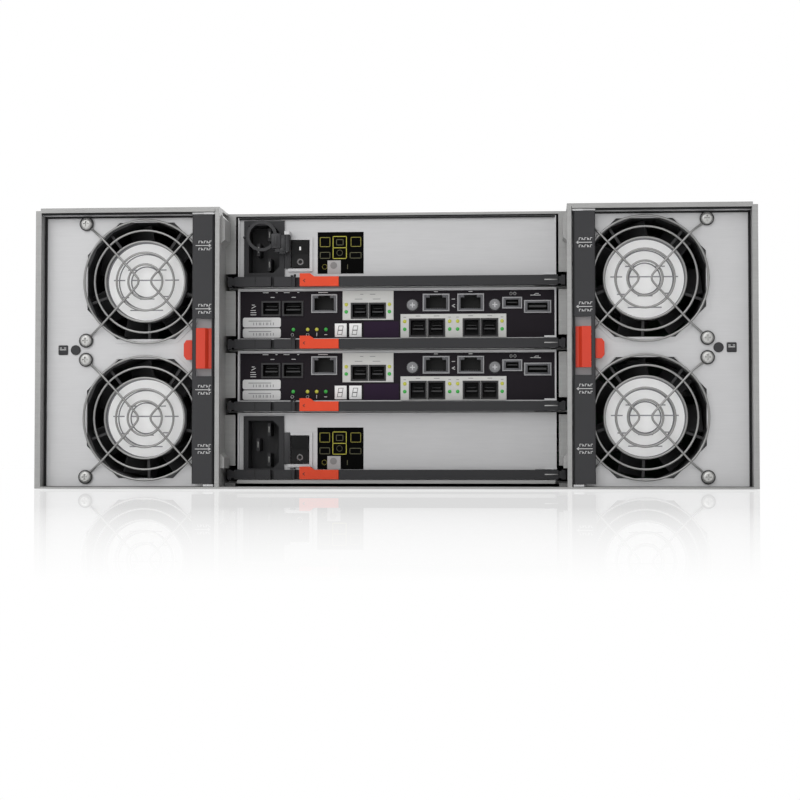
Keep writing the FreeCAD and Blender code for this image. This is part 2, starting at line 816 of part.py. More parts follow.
def psu_case(name, base_z):
    """Power canister: plain zinc-plated face, cut for the inlet and the switch."""
    base = lever_base(name, base_z)
    gap = 0.1
    inlet_cut = block(
        inlet_left + inlet_rim - gap, inlet_right - inlet_rim + gap, face_y - 1, face_y + sheet + 1,
        base_z + inlet_low + inlet_rim - gap, base_z + inlet_high - inlet_rim + gap,
    )

    def round_rocker(margin, y0, y1):
        """A block round the rocker, larger than it by a margin all round."""
        low = base_z + rocker_low - margin
        high = base_z + rocker_high + margin
        return block(rocker_left - margin, rocker_right + margin, y0, y1, low, high)

    rocker_cut = round_rocker(switch_wall, face_y - 1, face_y + sheet + 1)
    shell = canister_shell(base_z, psu_height, lever_clearance(base) + [inlet_cut, rocker_cut])
    bezel_y0 = face_y - switch_proud
    rim = round_rocker(switch_rim, bezel_y0, face_y)
    body = round_rocker(switch_wall, bezel_y0, face_y + rocker_depth + 4)
    hole = round_rocker(slide_gap, bezel_y0 - 1, face_y + rocker_depth + 2)
    axle_z = base_z + (rocker_low + rocker_high) / 2
    axle_bore = rod_x(
        rocker_left - 1.0, rocker_right + 1.0, face_y - rocker_axle_depth, axle_z,
        rocker_axle_radius + running_gap,
    )
    cup = joined([rim, body])
    parts = [shell] + pivot_bracket(base) + [without(cup, [hole, axle_bore])]
    if name == "upper_psu":
        leg = block(
            retainer_pin_x - 1.6, retainer_pin_x + 1.6, face_y - retainer_pin_depth - 1.6, face_y + 0.5,
            base_z + retainer_top + slide_gap, base_z + retainer_top + slide_gap + 2.2,
        )
        pin = drum_z(
            retainer_pin_x, face_y - retainer_pin_depth, base_z + retainer_low, base_z + retainer_top + 1,
            retainer_pin_radius, pin_sides,
        )
        parts += [leg, pin]
    return joined(parts)


def power_inlet(base_z):
    """High-current mains inlet: cup with clipped upper corners and three flat pins."""
    low = base_z + inlet_low
    high = base_z + inlet_high
    flange = block(inlet_left, inlet_right, face_y - inlet_proud, face_y, low, high)
    body = block(
        inlet_left + inlet_rim, inlet_right - inlet_rim, face_y - inlet_proud, face_y + inlet_body_depth,
        low + inlet_rim, high - inlet_rim,
    )
    x0 = inlet_left + inlet_wall_x
    x1 = inlet_right - inlet_wall_x
    z0 = low + inlet_wall_z
    z1 = high - inlet_wall_z
    corner = inlet_corner
    outline = [
        (x0, z0), (x1 - corner, z0), (x1, z0 + corner), (x1, z1 - corner), (x1 - corner, z1), (x0, z1),
    ]
    cavity = prism_y(outline, face_y - inlet_proud - 1, face_y - inlet_proud + inlet_depth)
    shell = without(joined([flange, body]), [cavity])
    pins = []
    mid_x = (x0 + x1) / 2
    mid_z = (z0 + z1) / 2
    pin_end = face_y - inlet_proud + inlet_depth + 1
    for dx, dz in inlet_pins:
        left = mid_x + dx - inlet_pin_width / 2
        foot = mid_z + dz - inlet_pin_height / 2
        pins.append(block(left, left + inlet_pin_width, face_y + 1.5, pin_end, foot, foot + inlet_pin_height))
    return joined([shell] + pins)


def rocker(base_z):
    """Mains switch: a rocker with two slanted faces, on a round axle across it."""
    mid_z = base_z + (rocker_low + rocker_high) / 2
    reach = (rocker_high - rocker_low) / 2
    tilt = math.tan(math.radians(rocker_swing))
    y_mid = face_y - switch_proud
    outline = [
        (y_mid + 0.6, mid_z),
        (y_mid - 1.6, mid_z + reach - 0.4),
        (y_mid + 4.6, mid_z + reach - 0.9),
        (y_mid + 7.4, mid_z + 3.0),
        (y_mid + 7.4, mid_z - 3.0),
        (y_mid + 4.6, mid_z - reach + 0.9),
        (y_mid + 2.4 * tilt, mid_z - reach + 0.4),
    ]
    corners = [Vector(rocker_left + 0.2, y, z) for y, z in outline]
    face = Part.Face(Part.makePolygon(corners + corners[:1]))
    key = face.extrude(Vector(rocker_right - rocker_left - 0.4, 0, 0))
    axle_y = face_y - rocker_axle_depth
    stubs = [
        rod_x(rocker_left - 0.7, rocker_left + 0.5, axle_y, mid_z, rocker_axle_radius),
        rod_x(rocker_right - 0.5, rocker_right + 0.7, axle_y, mid_z, rocker_axle_radius),
    ]
    return joined([key] + stubs)


def cord_retainer(base_z):
    """Plastic clip hinged beside the inlet, with the loop that holds a plug in place."""
    x = retainer_ring_x
    z = base_z + retainer_ring_z
    y0 = face_y - retainer_depth
    y1 = y0 + retainer_sheet
    outer = drum_y(x, z, y0, y1, retainer_ring_radius, duct_sides)
    inner = drum_y(x, z, y0 - 1, y1 + 1, retainer_ring_radius - retainer_band, duct_sides)
    low = base_z + retainer_low
    high = base_z + retainer_top
    pin_y = face_y - retainer_pin_depth
    arm = block(x + retainer_ring_radius - 1.2, retainer_pin_x, y0, y1, low, high)
    barrel = rod_z(retainer_pin_x, pin_y, low, high, retainer_barrel_radius)
    bore = rod_z(retainer_pin_x, pin_y, low - 1, high + 1, retainer_pin_radius + running_gap)
    return without(joined([without(outer, [inner]), arm, barrel]), [bore])


def controller_case(name, base_z):
    """Controller canister, its dark face cut for each group of ports."""
    base = lever_base(name, base_z)
    gap = 0.1
    tools = lever_clearance(base)
    for x0, x1, low, high in face_windows:
        tools.append(block(
            x0 - gap, x1 + gap, face_y - 1, face_y + sheet + 1, base_z + low - gap, base_z + high + gap,
        ))
    shell = canister_shell(base_z, controller_height, tools)
    screws = []
    for x, z in thumb_screws:
        screws.append(drum_y(x, base_z + z, face_y - 1.8, face_y + 0.2, thumb_screw_radius, 2 * pin_sides))
    return joined([shell] + pivot_bracket(base) + screws)


def controller_ports(base_z):
    """Metal port shells, open at the back, and the pale plates round two groups of them."""
    solids = []
    for _, x0, x1, low, high, port_depth in ports:
        y0 = face_y - port_proud
        y1 = face_y + port_depth
        tube = block(x0, x1, y0, y1, base_z + low, base_z + high)
        cavity = block(
            x0 + port_wall, x1 - port_wall, y0 - 1, y1 + 1,
            base_z + low + port_wall, base_z + high - port_wall,
        )
        solids.append(without(tube, [cavity]))
    for x0, x1, low, high in port_plates:
        plate = block(x0, x1, face_y - plate_sheet, face_y, base_z + low, base_z + high)
        holes = [
            block(a - 0.1, b + 0.1, face_y - 2, face_y + 1, base_z + c - 0.1, base_z + d + 0.1)
            for _, a, b, c, d, _ in ports
        ]
        solids.append(without(plate, holes))
    return solids


# ---------------------------------------------------------------- drawers


def drawer_tray(row):
    """Sheet tray with its slide ribs, its front panel and the lever lugs."""
    z = drawer_mid(row)
    low = z - drawer_pitch / 2 + drawer_gap
    high = z + drawer_pitch / 2 - drawer_gap
    x = drawer_side_x
    back_bezel = bezel_y - bezel_thickness
    tray = block(-x, x, drawer_back_y, back_bezel, low, low + tray_height)
    inner_x = x - thin_sheet
    room = block(-inner_x, inner_x, drawer_back_y + thin_sheet, back_bezel + 1, low + thin_sheet, high + 1)
    tray = without(tray, [room])
    bezel_x = wall_inner - bezel_side_gap
    bezel = block(-bezel_x, bezel_x, back_bezel, bezel_y, low, high)
    upright = [edge for edge in bezel.Edges if abs(edge.tangentAt(edge.FirstParameter).z) > 0.9]
    bezel = bezel.makeChamfer(bezel_chamfer, upright)
    parts = [tray, bezel]
    rib_x = wall_inner - runner_lip - slide_gap
    pieces = [block(x, rib_x, drawer_back_y, back_bezel, z - rib_height / 2, z + rib_height / 2)]
    pin_low = z - front_lever_height / 2 - slide_gap
    pin_high = z + front_lever_height / 2 + slide_gap
    pin_y = front - front_lever_thickness / 2
    pieces.append(drum_z(front_pivot_x, pin_y, pin_low, pin_high, pivot_radius, pin_sides))
    lug_x = front_pivot_x - front_lug_width / 2
    for lug_low in (pin_low - front_lug, pin_high):
        lug_high = lug_low + front_lug
        pieces.append(block(lug_x, lug_x + front_lug_width, bezel_y, front - 1, lug_low, lug_high))
    for piece in pieces:
        parts += [piece, other_side(piece)]
    return joined(parts)


def drawer_drives(row):
    """Twelve 3.5 inch drives lying flat, four across and three deep."""
    z = drawer_mid(row) - drawer_pitch / 2 + drawer_gap + thin_sheet
    inner_width = 2 * (drawer_side_x - thin_sheet)
    inner_length = bezel_y - bezel_thickness - drawer_back_y - thin_sheet
    gap_x = (inner_width - drives_across * drive_width) / (drives_across + 1)
    gap_y = (inner_length - drives_deep * drive_length) / (drives_deep + 1)
    drives = []
    for column in range(drives_across):
        for line in range(drives_deep):
            x = -inner_width / 2 + gap_x + column * (drive_width + gap_x)
            y = drawer_back_y + thin_sheet + gap_y + line * (drive_length + gap_y)
            drive = block(x, x + drive_width, y, y + drive_length, z, z + drive_height)
            top = [edge for edge in drive.Edges if edge.BoundBox.ZMin > z + drive_height - 0.1]
            drives.append(drive.makeChamfer(drive_edge, top))
    return drives


def drawer_lever(row):
    """Right-hand pull lever of a drawer, lying along its front."""
    z = drawer_mid(row)
    low = z - front_lever_height / 2
    high = z + front_lever_height / 2
    y0 = front - front_lever_thickness
    x0 = front_lever_inner_x
    reach = front_lever_thickness / 2
    bar = block(x0, front_pivot_x, y0, front, low, high)
    end = drum_z(front_pivot_x, y0 + reach, low, high, reach, pin_sides)
    hook = block(x0, x0 + front_hook, bezel_y + slide_gap, y0, low + 3, high - 3)
    grip_y = y0 + front_grip_depth
    grip_outline = [
        (x0 + 12, y0), (front_pivot_x - 22, y0), (front_pivot_x - 28, grip_y), (x0 + 18, grip_y),
    ]
    grip = prism_z(grip_outline, low - 1, high + 1)
    bore = rod_z(front_pivot_x, y0 + reach, low - 1, high + 1, pivot_radius + running_gap)
    return without(joined([bar, end, hook]), [grip, bore])


# ---------------------------------------------------------------- nodes

os.makedirs("parts", exist_ok=True)

save("chassis_tray", [chassis_tray()])
save("top_cover", [top_cover()])
ear = rack_ear()
save("rack_ears", [other_side(ear), ear])
divider = bay_divider()
save("bay_dividers", [other_side(piece) for piece in divider] + divider)
save("midplane", [midplane()])
save("midplane_connectors", midplane_connectors())
runners = []
for row in range(drawer_count):
    runner = drawer_runner(drawer_mid(row))
    runners += [other_side(runner), runner]
save("drawer_runners", runners)

sides = {"left": other_side, "right": lambda shape: shape}
for side, place in sides.items():
    save(side + "_fan_case", [place(fan_case())])
    save(side + "_fan_frames", [place(fan_frame(z)) for z in fan_heights.values()])
    guards = []
    for z in fan_heights.values():
        guards += [place(piece) for piece in fan_guard(z) + fan_screws(z)]
    save(side + "_fan_guards", guards)
    save(side + "_fan_handle", [place(fan_handle())])
    save(side + "_fan_latch", [place(fan_latch())])
    for level, z in fan_heights.items():
        rotor = fan_rotor(z)
        if side == "left":
            rotor.translate(Vector(-2 * fan_centre_x, 0, 0))
        save(side + "_" + level + "_rotor", [rotor])

for name, base_z, height in canisters:
    base = lever_base(name, base_z)
    if name.endswith("psu"):
        save(name + "_case", [psu_case(name, base_z)])
        save(name + "_inlet", [power_inlet(base_z)])
        save(name + "_rocker", [rocker(base_z)])
    else:
        save(name + "_case", [controller_case(name, base_z)])
        save(name + "_ports", controller_ports(base_z))
    save(name + "_lever", [cam_lever(base)])
    save(name + "_latch", [squeeze_latch(base)])
save("cord_retainer", [cord_retainer(canisters[-1][1])])

for row in range(drawer_count):
    label = "drawer_" + str(row + 1)
    save(label + "_tray", [drawer_tray(row)])
    save(label + "_drives", drawer_drives(row))
    lever = drawer_lever(row)
    save(label + "_left_lever", [other_side(lever)])
    save(label + "_right_lever", [lever])
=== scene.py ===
"""Looks of a rack-mount disk shelf: four rack units high, its canister end towards the camera."""

import math

import bmesh
import bpy
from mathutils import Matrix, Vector


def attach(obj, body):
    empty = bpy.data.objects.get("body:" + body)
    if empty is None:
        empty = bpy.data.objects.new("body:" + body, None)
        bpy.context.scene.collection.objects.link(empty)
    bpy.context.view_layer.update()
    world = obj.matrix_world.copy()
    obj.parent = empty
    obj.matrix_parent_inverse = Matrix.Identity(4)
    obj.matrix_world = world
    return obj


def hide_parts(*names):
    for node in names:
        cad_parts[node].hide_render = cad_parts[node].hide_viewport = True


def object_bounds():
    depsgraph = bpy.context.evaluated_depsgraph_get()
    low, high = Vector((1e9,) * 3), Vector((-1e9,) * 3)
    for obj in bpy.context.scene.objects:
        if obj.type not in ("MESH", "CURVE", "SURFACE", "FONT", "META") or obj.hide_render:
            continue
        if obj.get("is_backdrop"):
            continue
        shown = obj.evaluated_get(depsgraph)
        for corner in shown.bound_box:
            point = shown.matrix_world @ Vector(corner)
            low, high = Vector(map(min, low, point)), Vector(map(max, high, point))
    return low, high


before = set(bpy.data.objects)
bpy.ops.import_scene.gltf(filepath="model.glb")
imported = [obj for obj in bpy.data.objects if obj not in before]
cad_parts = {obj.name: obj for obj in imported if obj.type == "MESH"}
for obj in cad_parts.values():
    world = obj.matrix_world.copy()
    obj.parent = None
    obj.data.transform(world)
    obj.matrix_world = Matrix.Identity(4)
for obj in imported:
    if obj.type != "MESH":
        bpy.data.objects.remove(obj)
cad_low, cad_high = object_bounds()

# ---- camera
# A long lens, low and a little to the right, pitched up slightly: the right-hand side is nearer.


def stand(name, data):
    """A new object that holds the data, linked into the scene."""
    thing = bpy.data.objects.new(name, data)
    bpy.context.scene.collection.objects.link(thing)
    return thing


long_lens = bpy.data.cameras.new("camera")
long_lens.lens = 85.15
long_lens.clip_end = 30
pitch_up, turn_left = 91.99, 4.17
camera = stand("camera", long_lens)
camera.location = (0.0889, -1.5647, 0.0142)
camera.rotation_euler = (math.radians(pitch_up), 0, math.radians(turn_left))
bpy.context.scene.camera = camera
bpy.context.scene.view_settings.view_transform = "Standard"

# ---- studio
# A polished white floor that runs out of view, under a white surround and three wide soft lamps.


def linear(code):
    """A '#RRGGBB' screen colour as linear red, green, blue and alpha."""
    parts = [int(code[i:i + 2], 16) / 255 for i in (1, 3, 5)]
    return [p / 12.92 if p <= 0.04045 else ((p + 0.055) / 1.055) ** 2.4 for p in parts] + [1.0]


def add(tree, kind, inputs=None, **settings):
    """Adds one node, with its settings, and a value or a link for each input named."""
    node = tree.nodes.new(kind)
    for key, value in settings.items():
        setattr(node, key, value)
    for key, value in (inputs or {}).items():
        if isinstance(value, bpy.types.NodeSocket):
            tree.links.new(value, node.inputs[key])
        else:
            node.inputs[key].default_value = value
    return node


def maths(tree, operation, *values):
    """The result of a sum on one or two values."""
    return add(tree, "ShaderNodeMath", dict(enumerate(values)), operation=operation).outputs[0]


def new_finish(name):
    """A new material, its node tree and its shader."""
    made = bpy.data.materials.new(name)
    made.use_nodes = True
    return made, made.node_tree, made.node_tree.nodes["Principled BSDF"]


world = bpy.data.worlds.new("white_surround")
bpy.context.scene.world = world
world.use_nodes = True
tree = world.node_tree
tree.nodes.clear()
path = add(tree, "ShaderNodeLightPath")
seen = maths(tree, "MAXIMUM", path.outputs["Is Camera Ray"], path.outputs["Is Glossy Ray"])
pure_white = linear("#FFFFFF")
white = add(tree, "ShaderNodeBackground", {"Color": pure_white, "Strength": 1.0})
soft = add(tree, "ShaderNodeBackground", {"Color": pure_white, "Strength": 0.5})
mixed = add(tree, "ShaderNodeMixShader", {0: seen, 1: soft.outputs[0], 2: white.outputs[0]})
add(tree, "ShaderNodeOutputWorld", {"Surface": mixed.outputs[0]})

floor_finish, tree, shader = new_finish("white_floor_with_faint_polish")
shader.inputs["Base Color"].default_value = pure_white
shader.inputs["Roughness"].default_value = 0.6
shader.inputs["Specular IOR Level"].default_value = 0.0
path = add(tree, "ShaderNodeLightPath")
even = add(tree, "ShaderNodeEmission", {"Strength": 1.0})
paper = add(tree, "ShaderNodeMixShader", {
    0: path.outputs["Is Camera Ray"], 1: shader.outputs[0], 2: even.outputs[0]})
mirror = add(tree, "ShaderNodeBsdfGlossy", {"Color": pure_white, "Roughness": 0.0})
where = add(tree, "ShaderNodeTexCoord")
along = add(tree, "ShaderNodeSeparateXYZ", {0: where.outputs["Object"]})
dull_until, polished_from, mirror_share = -1.33, -0.9, 0.3
polish = add(tree, "ShaderNodeMapRange", {
    "Value": along.outputs["Y"], "From Min": dull_until, "From Max": polished_from, "To Max": mirror_share})
faint = add(tree, "ShaderNodeMixShader", {0: polish.outputs[0], 1: paper.outputs[0], 2: mirror.outputs[0]})
tree.links.new(faint.outputs[0], tree.nodes["Material Output"].inputs["Surface"])
floor_mesh = bpy.data.meshes.new("floor")
floor_side, floor_near, floor_far = 9, -4, 14
floor_mesh.from_pydata([(-floor_side, floor_near, 0), (floor_side, floor_near, 0),
                        (floor_side, floor_far, 0), (-floor_side, floor_far, 0)], [], [(0, 1, 2, 3)])
floor_mesh.materials.append(floor_finish)
floor = stand("floor", floor_mesh)
floor.location.z = cad_low.z - 0.0002
floor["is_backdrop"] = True

for name, place, target, size, power in (
    ("rear_lamp", (-0.9, -2.6, 1.5), (0, -0.3, 0.05), 2.2, 27),
    ("top_lamp", (0.3, -0.4, 2.6), (0, -0.2, 0), 2.4, 24),
    ("front_lamp", (0.9, 3.0, 1.6), (0, 0.3, 0.05), 2.0, 30),
):
    lamp = bpy.data.lights.new(name, "AREA")
    lamp.size = size
    lamp.energy = power
    holder = stand(name, lamp)
    holder.location = place
    holder.rotation_euler = (Vector(target) - Vector(place)).to_track_quat("-Z", "Y").to_euler()

# ---- folded sheet metal
# Floor pan, cover, dividers and canister shells: folded steel sheet with a bare zinc plating.
# The plating is pale and even, with soft cloudy patches and the fine grain of the rolling.


def cells(tree, scale, detail=2.0):
    """Noise over the object's own coordinates, with scale cells to the metre."""
    where = add(tree, "ShaderNodeTexCoord")
    return add(tree, "ShaderNodeTexNoise", {"Vector": where.outputs["Object"], "Scale": scale, "Detail": detail})


def tint(tree, shader, share, low, high):
    """Mixes two linear colours into the shader's base colour and gives the mix."""
    tone = add(tree, "ShaderNodeMix", {0: share, 6: low, 7: high}, data_type="RGBA")
    tree.links.new(tone.outputs[2], shader.inputs["Base Color"])
    return tone.outputs[2]


def scaled(colour, factor):
    """A linear colour made darker or paler."""
    return [min(1.0, part * factor) for part in colour[:3]] + [1.0]


def worn(tree, shader, share, low, high):
    """Lets the roughness wander between two values."""
    rough = add(tree, "ShaderNodeMapRange", {"Value": share, "To Min": low, "To Max": high})
    tree.links.new(rough.outputs[0], shader.inputs["Roughness"])


def raised(tree, shader, height, strength, distance):
    """Raises the surface by a height, distance in metres."""
    bump = add(tree, "ShaderNodeBump", {"Height": height, "Strength": strength, "Distance": distance})
    tree.links.new(bump.outputs[0], shader.inputs["Normal"])


def zinc_plate(name, light, dark, metallic=0.35, roughness=0.42):
    """Rolled, zinc-plated steel: clouds about 30 mm across, grain lines about 1 mm apart."""
    made, tree, shader = new_finish(name)
    clouds = cells(tree, 1 / 0.03, 3.0).outputs["Fac"]
    where = add(tree, "ShaderNodeTexCoord")
    drawn = add(tree, "ShaderNodeMapping", {"Vector": where.outputs["Object"], "Scale": (60, 60, 1000)})
    grain = add(tree, "ShaderNodeTexNoise", {"Vector": drawn.outputs[0], "Scale": 1.0, "Detail": 2.0}).outputs["Fac"]
    share = add(tree, "ShaderNodeMapRange", {
        "Value": maths(tree, "ADD", clouds, grain), "From Min": 0.7, "From Max": 1.3})
    tint(tree, shader, share.outputs[0], linear(dark), linear(light))
    worn(tree, shader, clouds, roughness - 0.06, roughness + 0.08)
    raised(tree, shader, grain, 0.03, 0.0002)
    shader.inputs["Metallic"].default_value = metallic
    return made


def dress(node, made):
    """Gives a CAD node its finish."""
    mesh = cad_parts[node].data
    mesh.materials.clear()
    mesh.materials.append(made)


chassis_zinc = zinc_plate("zinc_plated_chassis_steel", "#9E9E9D", "#949493")
for node in ("chassis_tray", "top_cover", "bay_dividers", "drawer_runners"):
    dress(node, chassis_zinc)
case_zinc = zinc_plate("zinc_plated_fan_case_steel", "#C0C0C1", "#BBBBBC")
dress("left_fan_case", case_zinc)
dress("right_fan_case", case_zinc)
box_zinc = zinc_plate("zinc_plated_canister_steel", "#B8B8B9", "#B3B3B4")
for node in ("lower_psu_case", "upper_psu_case", "lower_controller_case", "upper_controller_case"):
    dress(node, box_zinc)

# ---- rack ears
# Angles of 2.5 mm steel, powder-coated black, riveted to the sides behind the drawers' bezels.


def moulded(name, code, roughness=0.5, peel=0.6, depth=0.05, spread=0.06, sheen=0.5):
    """Powder coat or moulded plastic: one colour, orange peel of peel mm across and depth mm deep."""
    made, tree, shader = new_finish(name)
    base = linear(code)
    tint(tree, shader, cells(tree, 50.0).outputs["Fac"], scaled(base, 1 - spread), scaled(base, 1 + spread))
    raised(tree, shader, cells(tree, 1000 / peel, 1.0).outputs["Fac"], 0.2, depth / 1000)
    shader.inputs["Roughness"].default_value = roughness
    shader.inputs["Specular IOR Level"].default_value = sheen
    return made


dress("rack_ears", moulded("black_powder_coated_ear", "#2A2A2B", peel=0.9))

# ---- rivets and cover screws
# Domed steel rivets along both folded sides, and flat screws along the cover's edges.


def link_mesh(name, bm, made, smooth=30):
    """Turns a mesh drawn in millimetres into an object in the shared frame."""
    bmesh.ops.scale(bm, vec=(0.001, 0.001, 0.001), verts=bm.verts)
    bmesh.ops.recalc_face_normals(bm, faces=bm.faces[:])
    mesh = bpy.data.meshes.new(name)
    bm.to_mesh(mesh)
    bm.free()
    mesh.materials.append(made)
    if smooth:
        mesh.shade_smooth()
        mesh.set_sharp_from_angle(angle=math.radians(smooth))
    return stand(name, mesh)


def turned(bm, profile, sides, top=True):
    """A turned solid about Z from (radius, height) pairs, closed below and, if top, above."""
    loops = []
    turns = [2 * math.pi * i / sides for i in range(sides)]
    for radius, height in profile:
        loops.append([bm.verts.new((radius * math.cos(a), radius * math.sin(a), height)) for a in turns])
    for lower, upper in zip(loops, loops[1:]):
        for i in range(sides):
            j = (i + 1) % sides
            bm.faces.new((lower[i], lower[j], upper[j], upper[i]))
    bm.faces.new(loops[0][::-1])
    if top:
        bm.faces.new(loops[-1])
    return loops


def new_tree(name, **inputs):
    """A geometry node tree that takes a geometry and the inputs named; gives it and its start."""
    tree = bpy.data.node_groups.new(name, "GeometryNodeTree")
    for label, kind in {"Geometry": "Geometry", **inputs}.items():
        tree.interface.new_socket(label, in_out="INPUT", socket_type="NodeSocket" + kind)
    tree.interface.new_socket("Geometry", in_out="OUTPUT", socket_type="NodeSocketGeometry")
    return tree, add(tree, "NodeGroupInput")


def end_tree(tree, start, shape):
    """Ends a node tree: a real mesh in the finish given."""
    real = add(tree, "GeometryNodeRealizeInstances", {"Geometry": shape.outputs[0]})
    coated = add(tree, "GeometryNodeSetMaterial", {"Geometry": real.outputs[0], "Material": start.outputs["Finish"]})
    add(tree, "NodeGroupOutput", {"Geometry": coated.outputs[0]})


def run_tree(source, tree, inputs, name):
    """Runs a node tree on an object and keeps only the plain mesh that comes out."""
    modifier = source.modifiers.new("made", "NODES")
    modifier.node_group = tree
    for item in tree.interface.items_tree:
        if item.in_out == "INPUT" and item.name in inputs:
            modifier[item.identifier] = inputs[item.name]
    graph = bpy.context.evaluated_depsgraph_get()
    mesh = bpy.data.meshes.new_from_object(source.evaluated_get(graph))
    bpy.data.objects.remove(source)
    return stand(name, mesh)


# one copy of the fastener on each point, turned to the point's own direction
fastener_tree, start = new_tree("fastener_on_each_point", Fastener="Object", Finish="Material")
facing = add(fastener_tree, "GeometryNodeInputNamedAttribute", {"Name": "facing"}, data_type="FLOAT_VECTOR")
turn = add(fastener_tree, "FunctionNodeAlignRotationToVector", {"Vector": facing.outputs["Attribute"]}, axis="Z")
shape = add(fastener_tree, "GeometryNodeObjectInfo", {"Object": start.outputs["Fastener"]})
end_tree(fastener_tree, start, add(fastener_tree, "GeometryNodeInstanceOnPoints", {
    "Points": start.outputs["Geometry"], "Instance": shape.outputs["Geometry"], "Rotation": turn.outputs[0]}))


def fasten(name, shape, spots, made, body):
    """One mesh of the same fastener at every (place in mm, facing), riding on a body."""
    mesh = bpy.data.meshes.new(name + "_places")
    mesh.from_pydata([Vector(place) / 1000 for place, facing in spots], [], [])
    facing_of = mesh.attributes.new("facing", "FLOAT_VECTOR", "POINT")
    for index, (place, facing) in enumerate(spots):
        facing_of.data[index].vector = facing
    piece = run_tree(stand(name + "_places", mesh), fastener_tree, {"Fastener": shape, "Finish": made}, name)
    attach(piece, body)
    return piece


def bright_steel(name, code, roughness=0.3, metallic=0.9):
    """Nickel-plated or polished steel, with faint smears a few millimetres long."""
    made, tree, shader = new_finish(name)
    smears = cells(tree, 250.0).outputs["Fac"]
    base = linear(code)
    tint(tree, shader, smears, scaled(base, 0.9), base)
    worn(tree, shader, smears, roughness - 0.05, roughness + 0.07)
    shader.inputs["Metallic"].default_value = metallic
    return made


def recessed(bm, loop, reach, width, depth):
    """Closes a screw's top loop round a cross-shaped recess with its own floor."""
    cross = []
    sides = len(loop)
    half = width / 2
    height = loop[0].co.z
    corners = [(reach, -half), (reach, half), (half, half)]
    for quarter in range(4):
        cross += [bm.verts.new((x, y, height)) for x, y in corners]
        corners = [(-y, x) for x, y in corners]
    edges = [bm.edges.get((loop[i], loop[(i + 1) % sides])) for i in range(sides)]
    edges += [bm.edges.new((cross[i], cross[(i + 1) % 12])) for i in range(12)]
    bmesh.ops.triangle_fill(bm, use_beauty=True, edges=edges)
    deep = [bm.verts.new((v.co.x * 0.8, v.co.y * 0.8, height - depth)) for v in cross]
    for i in range(12):
        j = (i + 1) % 12
        bm.faces.new((cross[i], cross[j], deep[j], deep[i]))
    bm.faces.new(deep)


rivet_steel = bright_steel("zinc_plated_rivet_steel", "#C4C4C2", roughness=0.38, metallic=0.6)
bm = bmesh.new()
turned(bm, [(2.6, -0.4), (2.6, 0.12), (2.2, 0.5), (1.3, 0.8), (0.4, 0.9)], 14)
rivet = link_mesh("domed_rivet", bm, rivet_steel, 50)
wall_x = 222.0
side_rivets = []
for sx in (-1, 1):
    for y in (-392, -352, -262, -172, -82, 8, 98, 188, 278, 345):
        side_rivets += [((sx * wall_x, y, z), (sx, 0, 0)) for z in (9.0, 165.0)]
    side_rivets += [((sx * wall_x, -95.0, z), (sx, 0, 0)) for z in (30, 87, 144)]
fasten("side_rivets", rivet, side_rivets, rivet_steel, "chassis")
bm = bmesh.new()
loops = turned(bm, [(3.4, -0.4), (3.4, 0.1), (3.1, 0.35), (2.6, 0.45)], 20, top=False)
recessed(bm, loops[-1], 1.7, 0.7, 0.5)
cover_screw = link_mesh("flat_cover_screw", bm, rivet_steel)
screw_seat_z = 173.56
screw_spots = [(x, y) for y in (-380, -230, -95, 60, 220, 370) for x in (-214, 214)]
screw_spots += [(x, y) for x in (-120, 0, 120) for y in (-95, 384)]
fasten("cover_screws", cover_screw, [((x, y, screw_seat_z), (0, 0, 1)) for x, y in screw_spots], rivet_steel,
       "chassis")

# ---- midplane
# A green glass-fibre board across the chassis, with solder mask, and black moulded connectors.
dress("midplane", moulded("green_solder_mask_board", "#1F5B38", roughness=0.3, peel=2.5, depth=0.02, spread=0.15))
dress("midplane_connectors", moulded("black_lcp_connector", "#19191A", peel=0.8))

# ---- fan frames and rotors
# Axial fans moulded in black glass-filled nylon: frame, duct, struts and seven blades. The
# blades are polished by the tool, smoother and shinier than the plain frames, and their nylon is coloured paler than
# the frames' as painted light in the dark duct.
frame_nylon = moulded("black_glass_filled_nylon", "#303031", peel=1.2, depth=0.04, sheen=0.4)
# painted light: the blades get a paler base colour than the frame nylon, to lift the shade inside the duct
blade_nylon_painted_light = moulded("black_blade_nylon_painted_light", "#3A3A3B", roughness=0.3, peel=1.6, depth=0.02, sheen=0.7)
sides = (("left", -1), ("right", 1))
for side, sx in sides:
    dress(side + "_fan_frames", frame_nylon)
    for level in ("upper", "lower"):
        dress(side + "_" + level + "_rotor", blade_nylon_painted_light)

# ---- fan hub labels
# A round paper-film label on each fan's hub: off-white and without words, with thin grey circles just inside the
# guard's three inner rings as painted shadows of the wires.
fan_x = 154.2
fan_heights = {"upper": 128.6, "lower": 43.7}
fan_places = [(side, sx, level, z) for side, sx in sides for level, z in fan_heights.items()]
label_film, tree, shader = new_finish("off_white_label_film")
where = add(tree, "ShaderNodeTexCoord")
axes = add(tree, "ShaderNodeSeparateXYZ", {0: where.outputs["Object"]})
across = maths(tree, "SUBTRACT", maths(tree, "ABSOLUTE", axes.outputs["X"]), fan_x / 1000)
middle = (fan_heights["upper"] + fan_heights["lower"]) / 2000
fan_rise = fan_heights["upper"] / 1000 - middle
upward = maths(tree, "ABSOLUTE", maths(tree, "SUBTRACT", axes.outputs["Z"], middle))
spot = add(tree, "ShaderNodeCombineXYZ", {0: across, 1: maths(tree, "SUBTRACT", upward, fan_rise), 2: 0.0})
radius = add(tree, "ShaderNodeVectorMath", {0: spot.outputs[0]}, operation="LENGTH")
label_radius = 25.0
share = add(tree, "ShaderNodeMapRange", {"Value": radius.outputs["Value"], "From Max": label_radius / 1000})
